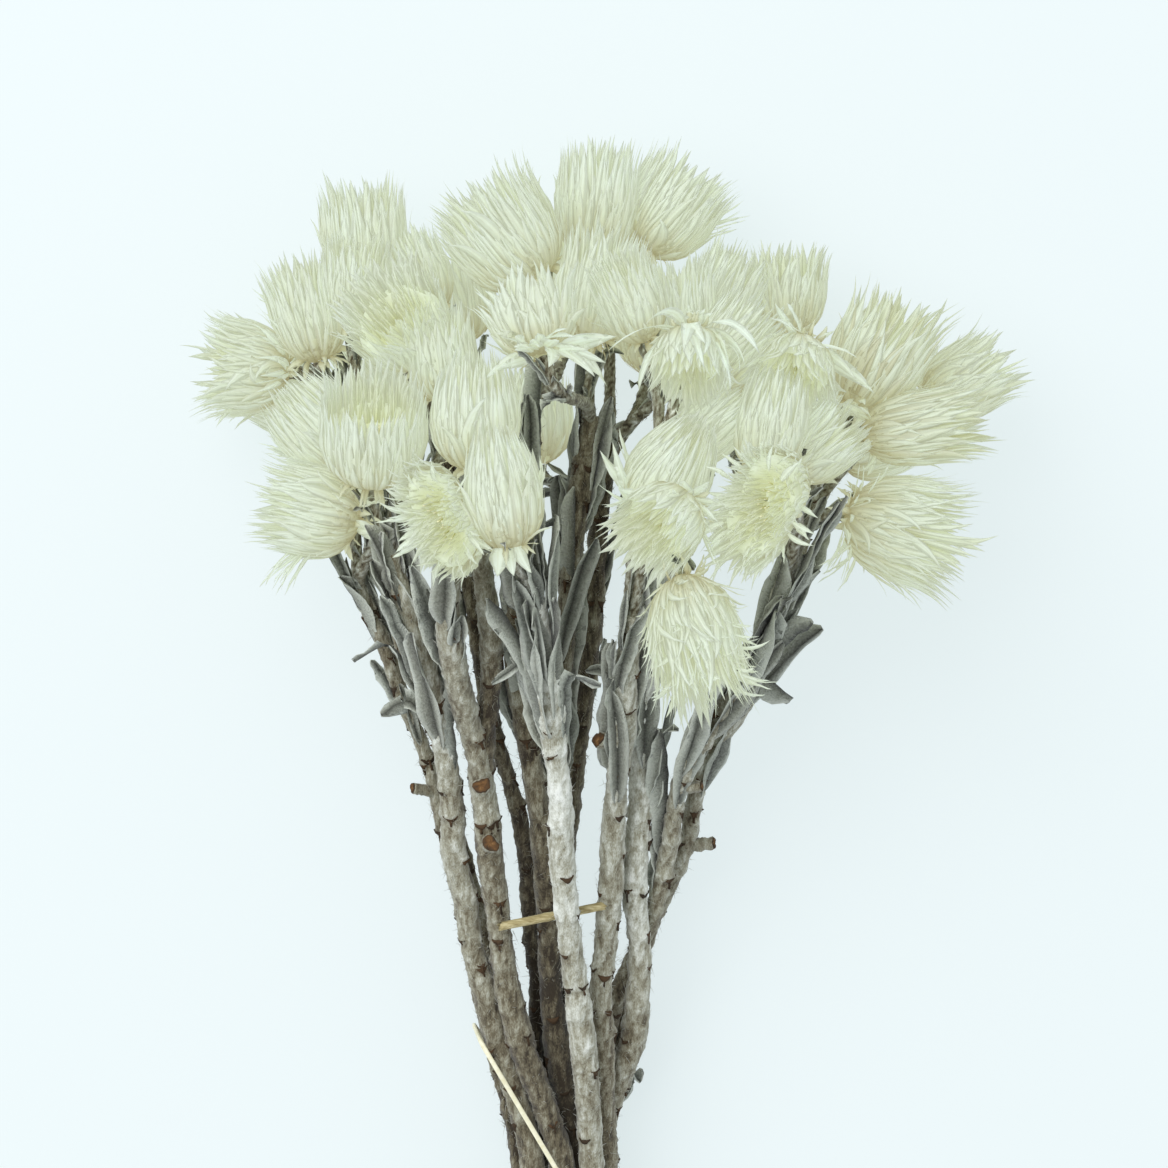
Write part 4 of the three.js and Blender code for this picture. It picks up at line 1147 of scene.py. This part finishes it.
# A felted strap leaf along a middle line. It is folded along its rib, and its rims roll.
def addLeaf(store, middle, out, width, draw, tone):
    look = leafLook
    length = np.linalg.norm(np.diff(middle, axis=0), axis=1).sum()
    route = evenRoute(middle, length / (look["rings"] - 1))
    points = route["points"]
    part = np.linspace(0, 1, len(points))[:, None]
    side = unit(np.cross(route["directions"], out))
    upper = np.cross(side, route["directions"])
    across = np.linspace(-1, 1, look["columns"])[None, :]
    ruffle = look["ruffle"] * np.sin(part * draw.uniform(9, 16) + np.sign(across) * draw.uniform(0, 3))
    half = width / 2 * np.interp(part, *look["outline"]) * (1 + ruffle)
    wave = look["wave"] * width * np.sin(part * draw.uniform(6, 14) + draw.uniform(0, 6) + across * 1.2)
    fold = draw.uniform(*look["fold"]) * draw.choice((-1, 1), p=(look["foldedBack"], 1 - look["foldedBack"]))
    roll = draw.uniform(*look["roll"])
    rise = half * (fold * np.abs(across) - roll * across**4) + wave * np.abs(across)
    twist = draw.normal() * look["twist"] * part
    aside = half * across * (1 - 0.35 * min(abs(fold), 0.9) * np.abs(across))
    aside, rise = aside * np.cos(twist) - rise * np.sin(twist), aside * np.sin(twist) + rise * np.cos(twist)
    face = points[:, None, :] + side[:, None, :] * aside[..., None] + upper[:, None, :] * rise[..., None]
    crumple = look["crumple"] * softNoise(face, look["crumpleSize"], int(draw.integers(1, 9999)))
    face = face + crumple[..., None] * upper[:, None, :]
    face = face + draw.normal(size=face.shape) * look["grain"]
    thick = np.minimum(1, 1.3 - np.abs(across) ** 3)[..., None] * look["thickness"] / 2
    top, bottom = face + upper[:, None, :] * thick, face - upper[:, None, :] * thick
    ring = np.concatenate([top, bottom[:, ::-1]], 1)
    rings, sides = ring.shape[:2]
    rim = np.broadcast_to(np.abs(across) ** 3, face.shape[:2])
    rim = np.concatenate([rim, rim[:, ::-1]], 1)
    addSkin(store, ring, ringFaces(rings, sides)[:, ::-1], np.repeat(part, sides), tone, rim, 1)


# A leaf on a stem. close is how far its root lies from the stem's middle, spring how far its tip stands
# away, as part of its length, and hook how much of its end bends back on itself.
def stemLeaf(store, route, draw, close, at, turn, reach, width, spring=leafLook["spring"], hook=0.0):
    root, along = placeOn(route, at)
    side = unit(np.cross(upward, along))
    out = side * math.cos(turn) + np.cross(side, along) * math.sin(turn)
    spots = (
        (0, close * 0.7), (0.25, close + 0.3), (0.5, close + 0.15 * spring * reach),
        (0.8, close + 0.55 * spring * reach), (1, close + spring * reach),
    )
    middle = np.array([root + along * part * reach + out * away for part, away in spots])
    middle[-1] += (out * 0.8 - along) * hook * reach
    sway = np.cross(along, out) * draw.normal() * leafLook["sway"] * reach
    middle += sway * np.linspace(0, 1, len(spots))[:, None] ** 2
    addLeaf(store, smoothRoute(middle, 1.5)["points"], out, width, draw, draw.uniform(0, 0.9))


stubLook = {
    "sides": 16, "spacing": 0.7, "thick": 0.6, "oval": 0.14, "corners": 0.09, "grain": 0.16, "tone": 0.4,
}


# What is left of a side branch that was cut off.
def addStub(store, route, at, degrees, length, stemRadius, seed):
    look = stubLook
    root, along = placeOn(route, at)
    side = unit(np.cross(upward, along))
    turn = math.radians(degrees)
    out = unit(-side * math.cos(turn) - np.cross(along, side) * math.sin(turn) + along * 0.5)
    reach = stemRadius + length
    twig = evenRoute(np.array([root, root + out * reach * 0.5, root + out * reach]), look["spacing"])
    radii = np.full((len(twig["points"]), look["sides"]), look["thick"] * stemRadius)
    turns = evenTurns(look["sides"])
    radii *= 1 + look["oval"] * np.sin(2 * turns + seed) + look["corners"] * np.sin(3 * turns + 2 * seed)
    radii += look["grain"] * np.random.default_rng(seed).normal(size=radii.shape)
    points = tubePoints(twig, radii)
    addSkin(store, points, ringFaces(*radii.shape), tone=look["tone"])
    addCutFace(store, twig["points"][-1], twig["directions"][-1], points[-1][::-1], seed)


branchLook = {
    "radius": 1.9, "sides": 14, "spacing": 1.1, "gap": 0.3, "bow": 0.4, "bareBow": 0.1,
    "start": 0.985, "apart": 0.018,  # the first one's place on the stem, and how much lower each next one is
    "thickness": ((0, 0.8, 1), (1.0, 0.95, 1.25)), "grain": 0.07, "lumps": 0.18,
    "leaves": 5, "leafLength": (9, 19), "leafWidth": (2.4, 4.6), "leafSpring": (0.1, 0.4),
    "hairs": {"perMillimetre": 3, "length": (0.5, 1.6)},
}


# The thin branch from the stem's end to the head's base, with small leaves under the head.
def addBranch(store, head, route, part, kept, seed):
    look, draw = branchLook, np.random.default_rng(seed)
    axis = headDirections(head)[0]
    start, along = placeOn(route, part)
    end = head["base"] - axis * look["gap"]
    reach = np.linalg.norm(end - start)
    bow = look["bareBow"] if head["bare"] else look["bow"]
    guides = start + along * 0.3 * reach, end - axis * bow * reach
    branch = guidedRoute(start, *guides, end, look["spacing"])
    places, sides = len(branch["points"]), look["sides"]
    radii = look["radius"] * (0.97 + look["grain"] * draw.normal(size=(places, sides)))
    radii = radii + look["lumps"] * softNoise(branch["points"], 5.0, seed)[:, None]
    radii = radii * np.interp(np.linspace(0, 1, places), *look["thickness"])[:, None]
    tone = 0.3 + 0.25 * kept + 0.2 * draw.normal(size=places * sides)
    addSkin(store, tubePoints(branch, radii), ringFaces(places, sides), tone=np.clip(tone, 0, 1))
    addWool(store, branch, look["radius"] * 2, seed + 1, look["hairs"], kept)
    for k in range(0 if head["bare"] else look["leaves"]):
        at = min(0.97, 1 - (4 + 6 * draw.random() + 3.4 * k) / max(reach, 12))
        if at < 0.06:
            continue
        size = [draw.uniform(*look[key]) for key in ("leafLength", "leafWidth", "leafSpring")]
        hook = 0.25 * (draw.random() < 0.25)
        stemLeaf(store, branch, draw, look["radius"] * 0.9, at, goldenTurn * k + seed, *size, hook)


# Loose ends of wool that stand off a stem.
def addWool(store, route, girth, seed, hairs, kept, thick=0.09):
    draw = np.random.default_rng(seed)
    count = int(route["length"] * hairs["perMillimetre"])
    spot = draw.integers(1, max(2, len(route["points"]) - 2), count)
    sides, uprights = carriedAcross(route["directions"])
    out = turned(sides[spot], uprights[spot], draw.uniform(0, 2 * math.pi, count))
    foot = route["points"][spot] + out * (girth / 2 * draw.uniform(0.8, 1.0, (count, 1)))
    aside = np.cross(out, route["directions"][spot])
    lie = route["directions"][spot] * draw.normal(size=(count, 1)) + aside * draw.normal(size=(count, 1))
    length = draw.uniform(*hairs["length"], (count, 1))
    end = foot + (out * 0.5 + lie * 0.7) * length
    wide = unit(np.cross(end - foot, out + 0.01))
    points = np.stack([foot + wide * thick, foot - wide * thick, foot + out * thick * 1.7, end], 1)
    faces = np.array([[0, 2, 1], [0, 1, 3], [1, 2, 3], [2, 0, 3]])
    addSkin(store, points, repeatFaces(faces, count, 4), tone=0.25 + 0.6 * kept)


# The leaves of a stem and its fork: spread ones, some of them in pairs, then close ones, then the ones that
# its list gives.
def addLeaves(store, stem, route, forkRoute, number, draw):
    values = seededNumbers(number + 1)
    leaves, larger = stem["leaves"], leafLook["larger"]
    close = stem["girth"] / 2 * 0.85
    for k in range(leaves["count"]):
        at = leaves["from"] + (0.99 - leaves["from"]) * (k + 0.5) / leaves["count"]
        turn = 2.4 * k + 0.6 * next(values)
        length = leaves["length"] * (0.8 + 0.4 * next(values))
        width = leaves["width"] * (0.85 + 0.3 * next(values))
        onRoute = forkRoute if forkRoute and k % 2 else route
        stemLeaf(store, onRoute, draw, close, at, turn, length * larger, width * larger)
        if k % 2 == 0:
            spring = draw.uniform(0.03, 0.16)
            second = (max(at - 0.02, 0), turn + 1.9, 0.7 * length, 0.75 * width)
            stemLeaf(store, onRoute, draw, close, *second, spring)
    for k in range(leaves["sleeves"]):
        at, turn = draw.uniform(*leaves["over"]), draw.uniform(0, 2 * math.pi)
        length, width = leaves["length"] * draw.uniform(0.6, 1.25), leaves["width"] * draw.uniform(0.6, 1.05)
        spring, hook = draw.uniform(0.0, 0.14), 0.3 * (draw.random() < 0.2)
        onRoute = forkRoute if forkRoute and k % 3 == 2 else route
        stemLeaf(store, onRoute, draw, close, at, turn, length, width, spring, hook)
    for grown in stem.get("grown", ()):
        stemLeaf(store, route, draw, stem["girth"] / 2 * 0.9, *grown)


def makeStem(name, stem, number):
    store = newStore()
    draw = np.random.default_rng(layout["seed"] + number)
    route = smoothRoute(stem["route"], stemLook["spacing"])
    girth, kept, sheath = stem["girth"], stem["wool"], stem.get("sheath", noSheath)
    points = addStemTube(store, route, girth, kept, 50 + number, stemLook["taper"], sheath)
    addCutFace(store, route["points"][0], -route["directions"][0], points[0], 50 + number)
    addWool(store, route, girth * 0.95, 70 + number, stemLook["hairs"], kept)
    forkRoute = None
    if "fork" in stem:
        fork = stem["fork"]
        forkRoute = smoothRoute(fork["route"], stemLook["spacing"])
        addStemTube(store, forkRoute, fork["girth"], kept, 90 + number, 0.15)
        addWool(store, forkRoute, fork["girth"] * 0.95, 80 + number, stemLook["hairs"], kept)
    for k, stub in enumerate(stem.get("stubs", ())):
        addStub(store, route, *stub, girth / 2, 200 + 10 * number + k)
    addLeaves(store, stem, route, forkRoute, number, draw)
    for k, head in enumerate(head for head in heads if head["stem"] == name):
        part = branchLook["start"] - branchLook["apart"] * k
        addBranch(store, head, forkRoute if head["fork"] else route, part, kept, 300 + 10 * number + k)
    makePiece("stalk_" + name[1:], store, [woolly, felted, cutWood], "stem_" + name[1:])
    return route


stemRoutes = {name: makeStem(name, stem, number) for number, (name, stem) in enumerate(stems.items())}
print("stems made")

band = {
    "y": 23, "atX": -24, "slope": -1.7,  # its slanting plane: y at one x, and how y changes with x
    "width": 1.5, "thickness": 1.1, "squareness": 0.6, "steps": 240, "sides": 12,
    "swell": 0.06, "gap": 0.9,  # how far it keeps off the stems' own girth
    "stops": [(0.3, "#E2DCB8"), (0.7, "#F3EFD6")], "roughness": 0.45,
    "noise": (700.0, 4.0), "bump": (0.4, 0.0001),
}


def bandY(x):
    return band["y"] + band["slope"] * (x - band["atX"])


# Where a stem passes through the plane of the band: its outline there, a little larger.
def bandCrossing(name):
    route = stemRoutes[name]
    after = int(np.argmax(route["points"][:, 1] > bandY(route["points"][:, 0])))
    middle, along = route["points"][after], route["directions"][after]
    side = unit(np.cross(upward, along))
    radius = stems[name]["girth"] / 2 * (1 + band["swell"]) + band["gap"] + band["thickness"] / 2
    points = middle + turned(side, np.cross(along, side), evenTurns(48)) * radius
    off = points[:, 1] - bandY(points[:, 0])
    return points - along * (off / (along @ np.array((-band["slope"], 1.0, 0.0))))[:, None]


def convexOutline(points):
    points = points[np.lexsort((points[:, 1], points[:, 0]))]

    def chain(ordered):
        kept = []
        for point in ordered:
            while len(kept) > 1:
                first, second = kept[-1] - kept[-2], point - kept[-2]
                if first[0] * second[1] - first[1] * second[0] > 1e-9:
                    break
                kept.pop()
            kept.append(point)
        return kept[:-1]

    return np.array(chain(points) + chain(points[::-1]))


def makeBand():
    flat = convexOutline(np.concatenate([bandCrossing(name)[:, (0, 2)] for name in stems]))
    closed = np.vstack([flat, flat[:1]])
    loop = np.stack([closed[:, 0], bandY(closed[:, 0]), closed[:, 1]], 1)
    middle = evenRoute(loop, steps=band["steps"])["points"][:-1]
    along = unit(np.roll(middle, -1, axis=0) - np.roll(middle, 1, axis=0))
    out = unit(np.stack([along[:, 2], 0 * along[:, 2], -along[:, 0]], 1))
    turns = evenTurns(band["sides"])

    def squared(value):
        return (np.sign(value) * np.abs(value) ** band["squareness"])[:, None]

    thick = out[:, None, :] * squared(np.cos(turns)) * band["thickness"] / 2
    wide = np.cross(out, along)[:, None, :] * squared(np.sin(turns)) * band["width"] / 2
    points = middle[:, None, :] + thick + wide
    steps, sides = points.shape[:2]
    faces = ringFaces(steps + 1, sides, closedEnds=False) % (steps * sides)
    elastic = grainyMaterial("elasticBand", band["stops"], band["roughness"], band["noise"], band["bump"])
    store = newStore()
    addSkin(store, points, faces[:, ::-1])
    makePiece("band", store, [elastic], "tie_band")


makeBand()

straw = {
    "from": (-25.5, 71.5, 58), "to": (6, 77.5, 51), "radius": 1.35, "sides": 18, "spacing": 0.8,
    "ribs": (7, 0.05), "node": (0.45, 0.1, 0.03),  # its place, height and width
    "grain": 0.03, "torn": 0.9,
    "stops": [(0.3, "#8E7F55"), (0.5, "#B5A77A"), (0.7, "#D3C9A0")], "roughness": 0.7,
    "noise": (900.0, 4.0, (0.25, 2, 2)), "bump": (0.4, 0.0002),
}


def makeStraw():
    route = evenRoute(np.array([straw["from"], straw["to"]], dtype=float), straw["spacing"])
    places, sides = len(route["points"]), straw["sides"]
    turns = evenTurns(sides)[None, :]
    part = np.linspace(0, 1, places)[:, None]
    ribs, ribHeight = straw["ribs"]
    at, nodeHeight, nodeWidth = straw["node"]
    node = nodeHeight * np.exp(-((part - at) / nodeWidth) ** 2)
    radii = straw["radius"] * (0.94 + ribHeight * np.cos(ribs * turns) + node)
    draw = np.random.default_rng(5)
    radii = radii + draw.normal(size=radii.shape) * straw["grain"]
    points = tubePoints(route, radii)
    for end, sign in ((0, -1), (-1, 1)):  # both ends are torn
        torn = draw.uniform(-straw["torn"], straw["torn"], (sides, 1))
        points[end] += sign * route["directions"][end] * torn
    skin = grainyMaterial("dryStraw", straw["stops"], straw["roughness"], straw["noise"], straw["bump"])
    store = newStore()
    addSkin(store, points, ringFaces(places, sides))
    makePiece("straw", store, [skin], "loose_straw")


makeStraw()
print("band and straw made")

studio = {
    "floorColour": "#7C7D7E", "floorRoughness": 0.9, "floorSize": 6.0,
    "glowColour": "#F1FEFF", "glow": 0.71,  # the floor is lit from below, like a light table
    "skyColour": "#F4F9FF", "skyStrength": 0.8,
    "keyPower": 24.0, "keySize": 1.7, "keyPlace": (-0.8, 0.7, 1.6),
}


def makeFloor():
    size = studio["floorSize"] / 2
    corners = [(-size, -size, 0), (size, -size, 0), (size, size, 0), (-size, size, 0)]
    mesh = bpy.data.meshes.new("floor")
    mesh.from_pydata(corners, [], [(0, 1, 2, 3)])
    material, tree = newMaterial("paleFloor")
    surface = principledNode(tree, studio["floorColour"], studio["floorRoughness"])
    surface.inputs["Emission Color"].default_value = screenColour(studio["glowColour"])
    surface.inputs["Emission Strength"].default_value = studio["glow"]
    finishMaterial(tree, surface)
    mesh.materials.append(material)
    floor = bpy.data.objects.new("floor", mesh)
    bpy.context.scene.collection.objects.link(floor)


def makeLights():
    world = bpy.data.worlds.new("softRoom")
    world.use_nodes = True
    background = world.node_tree.nodes["Background"]
    background.inputs["Color"].default_value = screenColour(studio["skyColour"])
    background.inputs["Strength"].default_value = studio["skyStrength"]
    bpy.context.scene.world = world
    light = bpy.data.lights.new("softBox", "AREA")
    light.energy = studio["keyPower"]
    light.size = studio["keySize"]
    box = bpy.data.objects.new("softBox", light)
    box.location = studio["keyPlace"]
    x, y, z = studio["keyPlace"]
    box.rotation_euler = (math.atan2(math.hypot(x, y), z), 0, math.atan2(-y, -x) - math.pi / 2)
    bpy.context.scene.collection.objects.link(box)
    bpy.context.scene.view_settings.view_transform = "Standard"


makeFloor()
makeLights()

view = {"over": (0.0, 175.2), "plane": 75.0, "distance": 2000.0, "across": 350.4, "film": 36.0}


def makeCamera():
    data = bpy.data.cameras.new("overhead")
    data.sensor_width = view["film"]
    data.lens = view["film"] * view["distance"] / view["across"]
    data.clip_end = 20
    camera = bpy.data.objects.new("overhead", data)
    place = np.array((*view["over"], view["plane"] + view["distance"])) + np.array(layout["shift"])
    camera.location = place * layout["millimetre"]
    bpy.context.scene.collection.objects.link(camera)
    bpy.context.scene.camera = camera


makeCamera()
print("studio and camera ready")

print("triangles in all", triangleCount["all"], "and most in one piece", triangleCount["most"])
